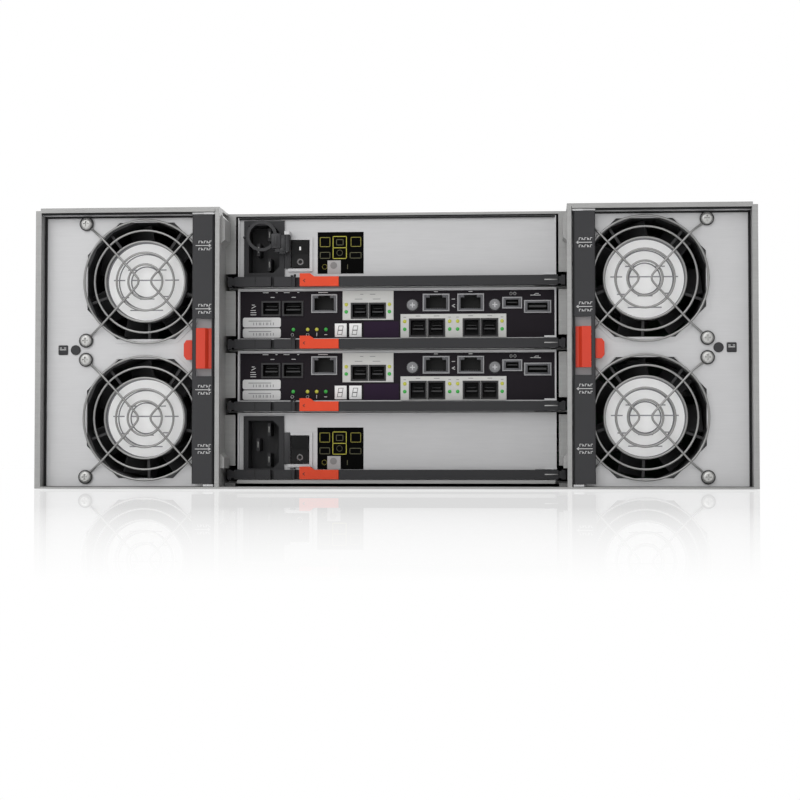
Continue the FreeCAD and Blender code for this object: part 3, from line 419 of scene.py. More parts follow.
# painted shadows: grey circles on the label just inside each of the guard's inner wire rings
label_ring_shadows = add(tree, "ShaderNodeValToRGB", {0: share.outputs[0]})
ramp = label_ring_shadows.color_ramp
ramp.interpolation = "CONSTANT"
ramp.elements[0].color = (0, 0, 0, 1)
ramp.elements[1].position = 0.365
ramp.elements[1].color = (1, 1, 1, 1)
for place, shade in ((0.395, 0), (0.675, 1), (0.705, 0), (0.955, 1)):
    ramp.elements.new(place).color = (shade, shade, shade, 1)
tint(tree, shader, label_ring_shadows.outputs["Color"], linear("#F6F6F6"), linear("#66666A"))
shader.inputs["Roughness"].default_value = 0.5
hub_y = -401.8


def disc(bm, place, profile, sides):
    """A turned solid that stands on a place, in mm, and faces the canister end."""
    turned(bm, profile, sides)
    for vert in bm.verts:
        vert.co = Vector((place[0] + vert.co.x, place[1] - vert.co.z, place[2] + vert.co.y))


for side, sx, level, z in fan_places:
    bm = bmesh.new()
    disc(bm, (sx * fan_x, hub_y, z), [(label_radius, 0.0), (label_radius, 0.18), (label_radius - 0.1, 0.22)], 64)
    piece = link_mesh("%s_%s_hub_label" % (side, level), bm, label_film, 40)
    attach(piece, side + "_fan_canister")

# ---- wire finger guards
# Five rings of 1.4 mm nickel-plated wire, welded behind two wires that turn back at the hub and
# end in an eye under each screw. The eyes lie on the case, and the rings stand off it.
nickel = bright_steel("nickel_plated_wire", "#8C8C8B", roughness=0.3, metallic=0.8)
wire = 1.4
wire_tree, start = new_tree("drawn_wire", Finish="Material")
route = add(wire_tree, "GeometryNodeMeshToCurve", {"Mesh": start.outputs["Geometry"]})
section = add(wire_tree, "GeometryNodeCurvePrimitiveCircle", {"Resolution": 10, "Radius": wire / 2000})
drawn = add(wire_tree, "GeometryNodeCurveToMesh", {
    "Curve": route.outputs[0], "Profile Curve": section.outputs["Curve"], "Fill Caps": True})
end_tree(wire_tree, start, add(wire_tree, "GeometryNodeSetShadeSmooth", {0: drawn.outputs[0]}))


def bent_wire(name, runs, made, body):
    """Draws round wire along (points in mm, closed) runs; a closed run is a ring."""
    points, edges = [], []
    for run, closed in runs:
        first = len(points)
        points += [Vector(p) / 1000 for p in run]
        edges += [(first + i, first + i + 1) for i in range(len(run) - 1)]
        if closed:
            edges.append((first + len(run) - 1, first))
    mesh = bpy.data.meshes.new(name + "_path")
    mesh.from_pydata(points, edges, [])
    piece = run_tree(stand(name + "_path", mesh), wire_tree, {"Finish": made}, name)
    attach(piece, body)
    return piece


def rounded_path(corners, radius, steps):
    """The corners joined by straight runs, each inner corner eased to a curve."""
    path = [Vector(corners[0])]
    for before, corner, after in zip(corners, corners[1:], corners[2:]):
        corner = Vector(corner)
        back = Vector(before) - corner
        ahead = Vector(after) - corner
        cut = min(radius, back.length * 0.45, ahead.length * 0.45)
        start = corner + back.normalized() * cut
        end = corner + ahead.normalized() * cut
        for i in range(steps + 1):
            t = i / steps
            path.append(start * (1 - t) ** 2 + corner * (2 * t * (1 - t)) + end * t ** 2)
    path.append(Vector(corners[-1]))
    return path


half_pitch = 36.5
ring_radii = (10.7, 18.0, 25.0, 31.8, 38.4)
ring_y, front_y, eye_y, head_y = -406.8, -408.2, -403.7, -404.4
apex, knee, foot_back, eye_radius = 2.4, 28.1, 3.5, 3.0
outer_reach = 1.3
screw_steel = bright_steel("bright_screw_steel", "#B4B4B2", roughness=0.38, metallic=0.85)
# painted shadow: a dark disc under each guard screw's head stands for the shadow round the head
screw_shadow_dark = moulded("painted_shadow_ring_round_screw", "#2B2B2B", roughness=0.6)
for side, sx in sides:
    canister = side + "_fan_canister"
    x = sx * fan_x
    runs, spots = [], []
    for z in fan_heights.values():
        for radius in ring_radii:
            turns = [2 * math.pi * i / 56 for i in range(56)]
            runs.append(([(x + radius * math.cos(a), ring_y, z + radius * math.sin(a)) for a in turns], True))
        for hand in (-1, 1):
            halves = []
            reach = half_pitch + (outer_reach if hand * x > 0 else 0.0)
            for sz in (-1, 1):
                spots.append(((x + hand * reach, head_y, z + sz * half_pitch), (0, -1, 0)))
                centre = Vector((x + hand * reach, eye_y, z + sz * half_pitch))
                inward = math.atan2(-sz, -hand)
                turns = [inward + math.radians(24 + i * 19.5) for i in range(17)]
                eye = [centre + Vector((eye_radius * math.cos(a), 0, eye_radius * math.sin(a))) for a in turns]
                arm = [(x + hand * apex, front_y, z), (x + hand * knee, front_y, z + sz * knee),
                       (x + hand * (reach - foot_back), eye_y, z + sz * (half_pitch - foot_back)), eye[0]]
                halves.append([Vector(p) for p in arm] + eye[1:])
            runs.append((rounded_path(list(reversed(halves[0])) + halves[1][1:], 4.5, 4), False))
    guard = bent_wire(side + "_wire_guards", runs, nickel, canister)
    bm = bmesh.new()
    loops = turned(bm, [(3.7, 0.0), (3.7, 0.9), (3.3, 1.6), (2.5, 2.1), (2.2, 2.15)], 24, top=False)
    recessed(bm, loops[-1], 1.75, 0.75, 1.1)
    turned(bm, [(1.9, -9.0), (1.9, 0.2)], 12)
    pan_head = link_mesh("cross_recess_screw_" + side, bm, screw_steel)
    screws = fasten(side + "_guard_screws", pan_head, spots, screw_steel, canister)
    # the dark disc under each screw head is painted shadow, riding on the canister with the screws
    bm = bmesh.new()
    turned(bm, [(4.4, -0.3), (4.4, 0.15), (4.1, 0.3)], 28)
    screw_shadow_ring = link_mesh("washer_" + side, bm, screw_shadow_dark)
    fasten(side + "_guard_washers", screw_shadow_ring, spots, screw_shadow_dark, canister)
    bpy.data.objects.remove(pan_head)
    bpy.data.objects.remove(screw_shadow_ring)
    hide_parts(side + "_fan_guards")
    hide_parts(side + "_fan_guards")

# ---- fan handles and their catches
# A tall aluminium pull, painted dark grey, hinged beside the bay, and a bright moulded catch.
# White arrows and short bars stand where the shelf has printed words.
handle_paint = moulded("dark_grey_handle_paint", "#323234", peel=0.7, depth=0.03, sheen=0.25)
catch_plastic = moulded("orange_red_acetal", "#C93A24", roughness=0.4, peel=0.8, depth=0.03, sheen=0.35)
white_ink = moulded("white_screen_ink", "#C9C9C9", roughness=0.6)
recess_grey = moulded("grey_primed_recess", "#B4B4B6", sheen=0.3)


def slab(bm, x, y, z, bevel=0.0):
    """A block between the limits given in mm, its edges eased."""
    verts = bmesh.ops.create_cube(bm, size=1.0)["verts"]
    for vert in verts:
        vert.co = Vector([low + (high - low) * (part + 0.5) for part, (low, high) in zip(vert.co, (x, y, z))])
    if bevel:
        edges = {edge for vert in verts for edge in vert.link_edges}
        bmesh.ops.bevel(bm, geom=list(edges), offset=bevel, segments=2, profile=0.5, affect="EDGES")


def plates(name, boxes, made, body, bevel=0.0):
    """One piece of several blocks, each given by its limits in mm, that rides on a body."""
    bm = bmesh.new()
    for x, y, z in boxes:
        slab(bm, x, y, z, bevel)
    piece = link_mesh(name, bm, made, 30 if bevel else 0)
    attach(piece, body)
    return piece


def stroke(bm, start, end, width, y0, y1):
    """A flat bar of one width between two (X, Z) points, from y0 to y1."""
    along = (Vector(end) - Vector(start)).normalized() * (width / 2)
    side = Vector((-along.y, along.x))
    outline = [Vector(start) - along + side, Vector(start) - along - side,
               Vector(end) + along - side, Vector(end) + along + side]
    near = [bm.verts.new((p.x, y0, p.y)) for p in outline]
    far = [bm.verts.new((p.x, y1, p.y)) for p in outline]
    bm.faces.new(near)
    bm.faces.new(far[::-1])
    for i in range(4):
        j = (i + 1) % 4
        bm.faces.new((near[i], far[i], far[j], near[j]))


def strokes(name, lines, width, y, made, body):
    """Printed or painted lines: each run of (X, Z) points is drawn with one width."""
    ink = 0.12
    bm = bmesh.new()
    for line in lines:
        for start, end in zip(line, line[1:]):
            stroke(bm, start, end, width, y, y + ink)
    piece = link_mesh(name, bm, made, 0)
    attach(piece, body)
    return piece


def round_run(x, z, radius, steps=14):
    """Points round a circle, back to the first."""
    turns = [2 * math.pi * i / steps for i in range(steps + 1)]
    return [(x + radius * math.cos(a), z + radius * math.sin(a)) for a in turns]


def moved(lines, x, z):
    """Runs of points, moved by x and z."""
    return [[(x + px, z + pz) for px, pz in line] for line in lines]


def flat_bars(bars, x=0.0, z=0.0):
    """Level lines from (start, end, height) bars, moved by x and z."""
    return moved([[(first, height), (last, height)] for first, last, height in bars], x, z)


arrow_length, arrow_head, bar_gap, bar_rise = 9.4, 0.7, 2.2, 0.6
for side, sx in sides:
    handle = side + "_fan_handle"
    dress(handle, handle_paint)
    dress(side + "_fan_latch", catch_plastic)
    first = -121.6 if sx < 0 else 112.4
    tip = first + arrow_length if sx < 0 else first
    lines = []
    for z in (150.2, 111.0, 61.0, 24.5):
        lines += [[(first, z), (first + arrow_length, z)],
                  [(tip + sx * 1.2, z + arrow_head), (tip, z), (tip + sx * 1.2, z - arrow_head)]]
        for row_z in (z + bar_gap, z - bar_gap):
            for i in range(5):
                x = first + 1.8 + i * 1.7
                lines += [[(x, row_z - bar_rise), (x, row_z + bar_rise)],
                          [(x, row_z + bar_rise), (x + 0.9, row_z + bar_rise * (-1) ** i)]]
    plates(side + "_latch_recess", [(sorted((sx * 111.8, sx * 121.4)), (-406.4, -406.1), (69.5, 105.1))],
           recess_grey, handle)
    strokes(side + "_handle_marks", lines, 0.38, -411.62, white_ink, handle)

# ---- fan case trim
# Grey bars on the hub labels, a folded lip round the middle side of each fan opening, two dark
# plastic plugs between the fans, and dark strips along the case's outer edges and top rim that paint the shadow
# lines in the gaps there.
label_grey_ink = moulded("grey_label_printing", "#86868A", roughness=0.6)
label_bars = [(-11.5, -6.5, 7.6), (7.0, 12.0, 7.6), (-20.5, -14.0, 1.2), (-9.0, 9.0, 1.2), (12.0, 20.0, 1.2),
              (-16.5, -11.5, -9.5), (-4.0, 4.5, -10.5), (11.0, 15.0, -9.0), (-10.0, 10.0, -17.6)]
for side, sx, level, z in fan_places:
    strokes("%s_%s_label_bars" % (side, level), flat_bars(label_bars, sx * fan_x, z), 0.7, hub_y - 0.36,
            label_grey_ink, side + "_fan_canister")

plug_black = moulded("dark_grey_plug_nylon", "#2E2E30", sheen=0.3)
# painted shadow: a dark finish for strips that stand for the shadow lines in gaps
painted_shadow_strip = moulded("painted_shadow_line_dark", "#2A2A2B", roughness=0.8, peel=0.5, sheen=0.1)
panel_y = -402.9
plug_x, square_x = 198.7, 206.6
for side, sx in sides:
    canister = side + "_fan_canister"
    bm = bmesh.new()
    for z, way, inner in ((fan_heights["upper"], -1, 35.7), (fan_heights["lower"], 1, 36.9)):
        run = [(37.2, 14.0), (37.2, 17.2), (18.4, inner), (-18.4, inner), (-37.2, 17.2), (-37.2, 14.0)]
        fold = [(39.6, 14.0), (39.6, 18.2), (19.4, inner + 2.4), (-19.4, inner + 2.4), (-39.6, 18.2), (-39.6, 14.0)]
        rows = []
        for points, y in ((run, panel_y + 0.7), (run, panel_y - 0.6), (fold, panel_y - 0.6), (fold, panel_y)):
            rows.append([bm.verts.new((sx * fan_x + px, y, z + way * pz)) for px, pz in points])
        for i in range(len(run) - 1):
            for a, b in zip(rows, rows[1:] + rows[:1]):
                bm.faces.new((a[i], a[i + 1], b[i + 1], b[i]))
        for i in (0, -1):
            bm.faces.new([row[i] for row in rows])
    lip = link_mesh(side + "_opening_lips", bm, case_zinc, 20)
    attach(lip, side + "_fan_canister")
    bm = bmesh.new()
    disc(bm, (sx * plug_x, panel_y, 86.3), [(3.1, 0.0), (3.1, 0.8), (2.8, 1.0)], 24)
    slab(bm, sorted((sx * (square_x - 3.0), sx * (square_x + 3.0))), (panel_y - 1.0, panel_y), (83.3, 89.3), 0.6)
    plug = link_mesh(side + "_case_plugs", bm, plug_black)
    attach(plug, side + "_fan_canister")
    # painted shadow lines along the case's top and outer edges, and over the front edge of the top rim
    width, edge = sorted((sx * 124.0, sx * 218.1)), (panel_y - 1.0, panel_y - 0.12)
    shadow_strips = [(width, edge, (168.7, 169.8)), (sorted((sx * 216.9, sx * 218.1)), edge, (1.7, 168.7)),
            (width, (-411.25, -411.02), (169.75, 170.85))]
    plates(side + "_case_gasket", shadow_strips, painted_shadow_strip, canister)
    marks = flat_bars([(-1.8, 1.8, 86.5), (-1.8, -0.9, 87.6), (0.9, 1.8, 87.6)], sx * square_x)
    strokes(side + "_plug_marks", marks, 0.45, panel_y - 1.1, white_ink, canister)

# ---- canister levers and latches
# Cam levers moulded in dark grey nylon along each canister's foot, with a bright orange latch,
# a small black pawl beside it and a thin bright nickel strip along the foot at the right.
lever_nylon = moulded("dark_grey_lever_nylon", "#2B2B2D", peel=0.8, depth=0.04, sheen=0.25)
latch_acetal = moulded("orange_latch_acetal", "#D9431F", roughness=0.42, peel=0.8, depth=0.03, sheen=0.3)
pawl_black = moulded("black_pawl_nylon", "#121213", roughness=0.45, sheen=0.3)
mark_black = moulded("moulded_in_mark", "#3A1A12", roughness=0.6)
lever_bases = {"lower_psu": 5.7, "lower_controller": 48.5, "upper_controller": 87.8, "upper_psu": 127.1}
front = (-386.5, -386.2)
for name, base in lever_bases.items():
    lever = name + "_lever"
    dress(lever, lever_nylon)
    dress(name + "_latch", latch_acetal)
    # a thin bright nickel strip along the lever's foot at the right
    plates(name + "_pin_head", [((93.0, 101.4), front, (base + 2.7, base + 3.4))], nickel, lever,
           0.12)
    plates(name + "_lever_ribs", [((x, x + 0.6), front, (base, base + 6.0)) for x in (-88.6, -65.6)],
           pawl_black, lever)
    plates(name + "_pawl", [((-66.1, -64.5), (-385.9, -383.0), (base + 6.15, base + 7.0)),
                            ((-64.1, -62.9), (-385.9, -383.0), (base + 6.15, base + 7.6))],
           pawl_black, lever, 0.15)
    strokes(name + "_latch_mark", [[(-56.9, base + 4.2), (-57.9, base + 3.4), (-56.9, base + 2.6)]], 0.4,
            -386.8, mark_black, name + "_latch")

# ---- power canister faces
# Plain plated face with a moulded black inlet, a rocker switch and a black specification label
# that is left without words: thin frames, a ring and a grey window are all that it shows. A clip
# for a plug stands on the upper inlet.
inlet_black = moulded("black_inlet_nylon", "#2A2A2C", sheen=0.25)
rocker_black = moulded("black_rocker_polycarbonate", "#0C0C0D", roughness=0.35, sheen=0.15)
label_black = moulded("black_label_film", "#020202", sheen=0.03)
label_olive, label_yellow, label_dull, label_grey, label_spot = [
    moulded(ink, code, roughness=0.6, sheen=0.2) for ink, code in (
        ("olive_label_ink", "#8C8740"), ("yellow_label_ink", "#B4B04A"), ("dull_label_ink", "#5E5D48"),
        ("grey_label_window", "#ABABAB"), ("grey_label_spot", "#858585"))]
rocker_white = moulded("white_pad_print", "#F4F4F4", sheen=0.3)
smoke_nylon = moulded("smoke_grey_clip_nylon", "#2C2C2E", roughness=0.35, sheen=0.3)
# tinned contacts, coloured darker than bare tin as painted shade for the inside of the inlet
shaded_contact_tin = bright_steel("tinned_inlet_contact_painted_shade", "#6E6E6C", roughness=0.4)


def box_run(left, right, low, high):
    """The four corners of a frame, back to the first."""
    return [(left, low), (right, low), (right, high), (left, high), (left, low)]


dress("cord_retainer", smoke_nylon)
psu_bases = {"lower_psu": 3.0, "upper_psu": 126.7}
face_y, left, rocker_x = -377.5, -49.5, -60.9
label_lines = (
    ("frames", 0.4, label_olive, [
        box_run(1.2, 7.4, -8.0, -2.2), box_run(20.8, 27.0, -8.0, -2.2), round_run(4.1, -20.8, 1.5)]),
    ("tall_frame", 0.45, label_yellow, [box_run(9.4, 17.9, -15.6, -1.6), [(9.4, -8.8), (17.9, -8.8)]]),
    ("dull_frames", 0.4, label_dull, [
        box_run(1.2, 7.4, -15.4, -11.6), box_run(20.2, 27.2, -15.4, -11.9), box_run(11.6, 15.8, -7.0, -3.6),
        round_run(13.6, -12.0, 1.8), [(18.6, -19.6), (18.6, -22.2)]]))
for name, base in psu_bases.items():
    dress(name + "_inlet", inlet_black)
    dress(name + "_rocker", rocker_black)
    contacts = [((x - 0.45, x + 0.45), (face_y + 1.35, face_y + 1.6), (base + z - 1.9, base + z + 1.9))
                for x, z in ((-80.85, 34.1), (-80.85, 15.1), (-87.85, 24.6))]
    plates(name + "_contacts", contacts, shaded_contact_tin, name, 0.1)
    plates(name + "_clip_seat", [((-70.9, -66.9), (face_y - 1.5, face_y + 0.1), (base + 12.2, base + 32.2))],
           smoke_nylon, name, 0.3)
    top = base + 34.1
    label = ((left - 0.4, left + 28.8), (face_y - 0.14, face_y + 0.05), (top - 25.2, top + 1.2))
    plates(name + "_face_label", [label], label_black, name)
    for part, width, made, lines in label_lines:
        strokes("%s_label_%s" % (name, part), moved(lines, left, top), width, face_y - 0.22, made, name)
    window = ((left + 5.9, left + 14.3), (face_y - 0.26, face_y - 0.1), (top - 25.2, top - 16.8))
    plates(name + "_label_window", [window], label_grey, name)
    bm = bmesh.new()
    disc(bm, (left + 9.8, face_y - 0.26, top - 20.0), [(2.2, 0.0), (2.2, 0.05)], 28)
    spot = link_mesh(name + "_label_spot", bm, label_spot, 0)
    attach(spot, name)

    # a ring on the half that is pressed in, and on the upper one a bar on the half that stands out
    rocker_z = base + 21.3
    ring = round_run(rocker_x, rocker_z - 4.8, 1.6)
    bm = bmesh.new()
    for start, end in zip(ring, ring[1:]):
        stroke(bm, start, end, 0.6, face_y - 1.1, face_y - 0.2)
    if name == "upper_psu":
        stroke(bm, (rocker_x, rocker_z + 3.0), (rocker_x, rocker_z + 5.0), 1.0, face_y - 1.85, face_y - 0.95)
    piece = link_mesh(name + "_rocker_marks", bm, rocker_white, 0)
    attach(piece, name + "_rocker")
plates("lower_psu_foot_lip", [((-99.6, 99.6), (-386.4, -385.6), (3.1, 5.2))], chassis_zinc, "lower_psu")
# painted shadow: a dark strip for the shadow line along the top of the upper power canister
plates("upper_psu_top_gasket", [((-99.9, 99.9), (face_y - 1.85, face_y - 1.55), (170.0, 171.2))], painted_shadow_strip,
       "upper_psu")
z = psu_bases["upper_psu"]
bm = bmesh.new()
slab(bm, (-78.4, -72.0), (-388.2, -384.4), (z + 24.0, z + 33.6), 0.9)
slab(bm, (-73.4, -68.9), (-387.2, -383.9), (z + 20.6, z + 31.0), 0.8)
slab(bm, (-76.0, -74.2), (-388.6, -387.9), (z + 26.0, z + 32.0), 0.3)
slab(bm, (-72.6, -70.0), (-387.8, -386.9), (z + 22.0, z + 24.4), 0.3)
clamp = link_mesh("cord_clip_clamp", bm, smoke_nylon)
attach(clamp, "cord_retainer")
bm = bmesh.new()
bmesh.ops.create_uvsphere(bm, u_segments=16, v_segments=10, radius=1.1)
for vert in bm.verts:
    vert.co += Vector((-95.2, -385.8, z + 31.4))
ball = link_mesh("cord_clip_stud", bm, smoke_nylon, 60)
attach(ball, "cord_retainer")

# ---- controller faces
# A dark screen-printed overlay on each controller's plated face, cut out round every port, with
# folded metal port shells, pale port plates, light pipes, two-digit tiles and blank stickers.
face_film = moulded("dark_overlay_film", "#201C21", roughness=0.55, peel=0.5, depth=0.02, sheen=0.08)
tinted_film = moulded("purple_tinted_window", "#281A2E", roughness=0.4, peel=0.5, depth=0.01, sheen=0.08)
port_zinc = bright_steel("nickel_plated_port_shell", "#8F8F91", roughness=0.38, metallic=0.8)
port_lining = bright_steel("dull_port_lining", "#57575A", roughness=0.45, metallic=0.7)
thumb_steel = bright_steel("thumb_screw_steel", "#7A7A7C", roughness=0.4, metallic=0.85)
cage_dark = moulded("blackened_cage_steel", "#1C1B1D", roughness=0.4, sheen=0.4)
port_dark = moulded("black_port_moulding", "#101010", sheen=0.3)
tongue_grey = moulded("grey_port_tongue", "#3C3C3D", sheen=0.3)
plate_paint = moulded("pale_port_plate_paint", "#C9C9C6", sheen=0.2)
sticker = moulded("blank_sticker_paper", "#D2D2D2", roughness=0.6, sheen=0.2)
tile_white = moulded("white_digit_tile", "#EDEDED", roughness=0.4, sheen=0.2)
digit_ink = moulded("grey_digit_ink", "#4A4A4A")
grey_ink = moulded("pale_grey_screen_ink", "#8A8A8C", roughness=0.6)


def light_pipe(name, code):
    """Clear acrylic light pipe, dyed by the lamp behind it and softly glowing."""
    made, tree, shader = new_finish(name)
    base = linear(code)
    dyed = tint(tree, shader, cells(tree, 900.0).outputs["Fac"], scaled(base, 0.85), base)
    tree.links.new(dyed, shader.inputs["Emission Color"])
    shader.inputs["Emission Strength"].default_value = 0.25
    shader.inputs["Roughness"].default_value = 0.3
    return made


pipe_green = light_pipe("green_light_pipe", "#2A9A38")
pipe_yellow = light_pipe("yellow_light_pipe", "#ADAE3A")
port_places = [
    (-85.5, -73.6, 21.6, 30.9), (-72.2, -59.1, 21.6, 30.9), (-53.8, -37.5, 23.5, 35.1), (-28.6, -17.9, 19.6, 29.5),
    (-17.3, -6.6, 19.6, 29.5), (16.8, 33.5, 24.1, 35.0), (38.6, 55.2, 24.1, 35.0), (8.2, 19.2, 7.9, 19.3),
    (19.8, 30.8, 7.9, 19.3), (42.0, 52.8, 7.9, 19.3), (53.3, 64.1, 7.9, 19.3), (66.8, 79.1, 25.5, 32.7),
    (80.4, 97.3, 22.7, 30.6)]
cages, network_ports, usb_ports = (0, 1, 3, 4, 7, 8, 9, 10), (2, 5, 6), (11, 12)
plate_places = [(-33.9, -1.8, 18.8, 37.1), (2.8, 69.2, 7.3, 22.2)]
yellow_spots = [(-31.6, 28.5), (-4.3, 28.5), (5.4, 17.6), (33.7, 17.6), (38.7, 17.6), (66.6, 17.6),
                (-56.2, 12.9), (-50.4, 12.9)]
green_spots = [(-31.6, 23.9), (-4.3, 23.9), (5.4, 12.7), (33.7, 12.7), (38.7, 12.7), (66.6, 12.7),
               (-65.3, 12.9), (-44.6, 12.9)]
plate_y, film = -378.3, 0.12
thumb_places, thumb_rise = (10.3, 62.1), 27.9

# short bars and plain shapes where the shelf has printed port names
white_bars = [(-92.4, -89.2, 22.4), (-92.4, -89.2, 23.8), (-92.4, -89.6, 25.2), (-91.6, -90.2, 28.6),
              (-84.6, -81.4, 36.4), (-76.4, -75.6, 36.4), (-71.2, -68.0, 36.4), (-62.6, -61.8, 36.4),
              (-79.6, -77.6, 33.4), (-66.2, -64.0, 33.4), (-49.2, -43.6, 36.3), (-45.4, -44.0, 9.6),
              (84.6, 90.6, 33.8), (35.2, 36.8, 31.6), (24.0, 26.0, 36.4), (45.8, 47.8, 36.4)]
white_signs = [
    [(-91.8, 26.6), (-89.4, 27.8)], [(-50.4, 8.8), (-50.4, 10.6)], [(86.2, 33.8), (87.8, 34.8), (89.4, 34.8)],
    [(36.8, 28.2), (35.2, 27.4), (36.8, 26.6)], round_run(-65.9, 9.6, 0.9, 8), round_run(-56.2, 9.6, 0.9, 8),
    round_run(72.2, 34.9, 0.8, 8), round_run(74.6, 34.9, 0.8, 8)]
grey_bars = [(-22.6, -21.0, 34.9), (-16.4, -13.4, 34.9), (-26.0, -21.6, 31.9), (-14.6, -10.2, 31.9),
             (12.6, 15.0, 21.0), (24.0, 27.0, 21.0), (45.6, 48.2, 21.0), (57.6, 60.2, 21.0),
             (4.8, 6.0, 20.2), (33.1, 34.3, 20.2), (38.1, 39.3, 20.2), (66.0, 67.2, 20.2)]
bm = bmesh.new()
turned(bm, [(1.15, -0.4), (1.15, 0.15), (0.85, 0.4), (0.4, 0.5)], 16)
pipe = link_mesh("light_pipe", bm, pipe_green, 60)
bm = bmesh.new()
loops = turned(bm, [(3.3, 0.0), (3.6, 0.3), (3.6, 1.8), (3.3, 2.15), (2.7, 2.2), (2.5, 2.0)], 36, top=False)
for loop in loops[1:3]:
    for vert in loop[::2]:
        vert.co.xy *= 0.93
recessed(bm, loops[-1], 1.6, 0.7, 0.9)
thumb_screw = link_mesh("knurled_thumb_screw", bm, thumb_steel, 25)
bm = bmesh.new()
turned(bm, [(4.1, 0.0), (4.1, 0.3), (3.9, 0.4)], 32)
thumb_collar = link_mesh("thumb_screw_collar", bm, cage_dark, 25)


def windowed(bm, outline, windows, y0, y1):
    """A flat sheet from y0 to y1, cut through by square windows."""
    left, right, low, high = outline
    xs = sorted({left, right, *[x for w in windows for x in w[:2] if left <= x <= right]})
    zs = sorted({low, high, *[z for w in windows for z in w[2:] if low <= z <= high]})
    grid, faces = {}, []
    for x0, x1 in zip(xs, xs[1:]):
        for z0, z1 in zip(zs, zs[1:]):
            if any(a <= (x0 + x1) / 2 <= b and c <= (z0 + z1) / 2 <= d for a, b, c, d in windows):
                continue
            corners = []
            for x, z in ((x0, z0), (x1, z0), (x1, z1), (x0, z1)):
                if (x, z) not in grid:
                    grid[(x, z)] = bm.verts.new((x, y1, z))
                corners.append(grid[(x, z)])
            faces.append(bm.faces.new(corners))
    pulled = bmesh.ops.extrude_face_region(bm, geom=faces)["geom"]
    for vert in (part for part in pulled if isinstance(part, bmesh.types.BMVert)):
        vert.co.y = y0
    bmesh.ops.dissolve_limit(bm, angle_limit=0.02, verts=bm.verts[:], edges=bm.edges[:])


def sheet(name, outline, windows, y0, y1, made, body):
    """A windowed sheet as its own piece."""
    bm = bmesh.new()
    windowed(bm, outline, windows, y0, y1)
    piece = link_mesh(name, bm, made, 0)
    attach(piece, body)
    return piece


def grown(place, by):
    """A place made larger on its four sides."""
    left, right, low, high = place
    return left - by, right + by, low - by, high + by


def rim(place, side, foot, lap, y):
    """The two uprights, the sill and the head of a frame; sill and head run lap into the uprights."""
    left, right, low, high = place
    inner = (left + side - lap, right - side + lap)
    return [((left, left + side), y, (low, high)), ((right - side, right), y, (low, high)),
            (inner, y, (low, low + foot)), (inner, y, (high - foot, high))]


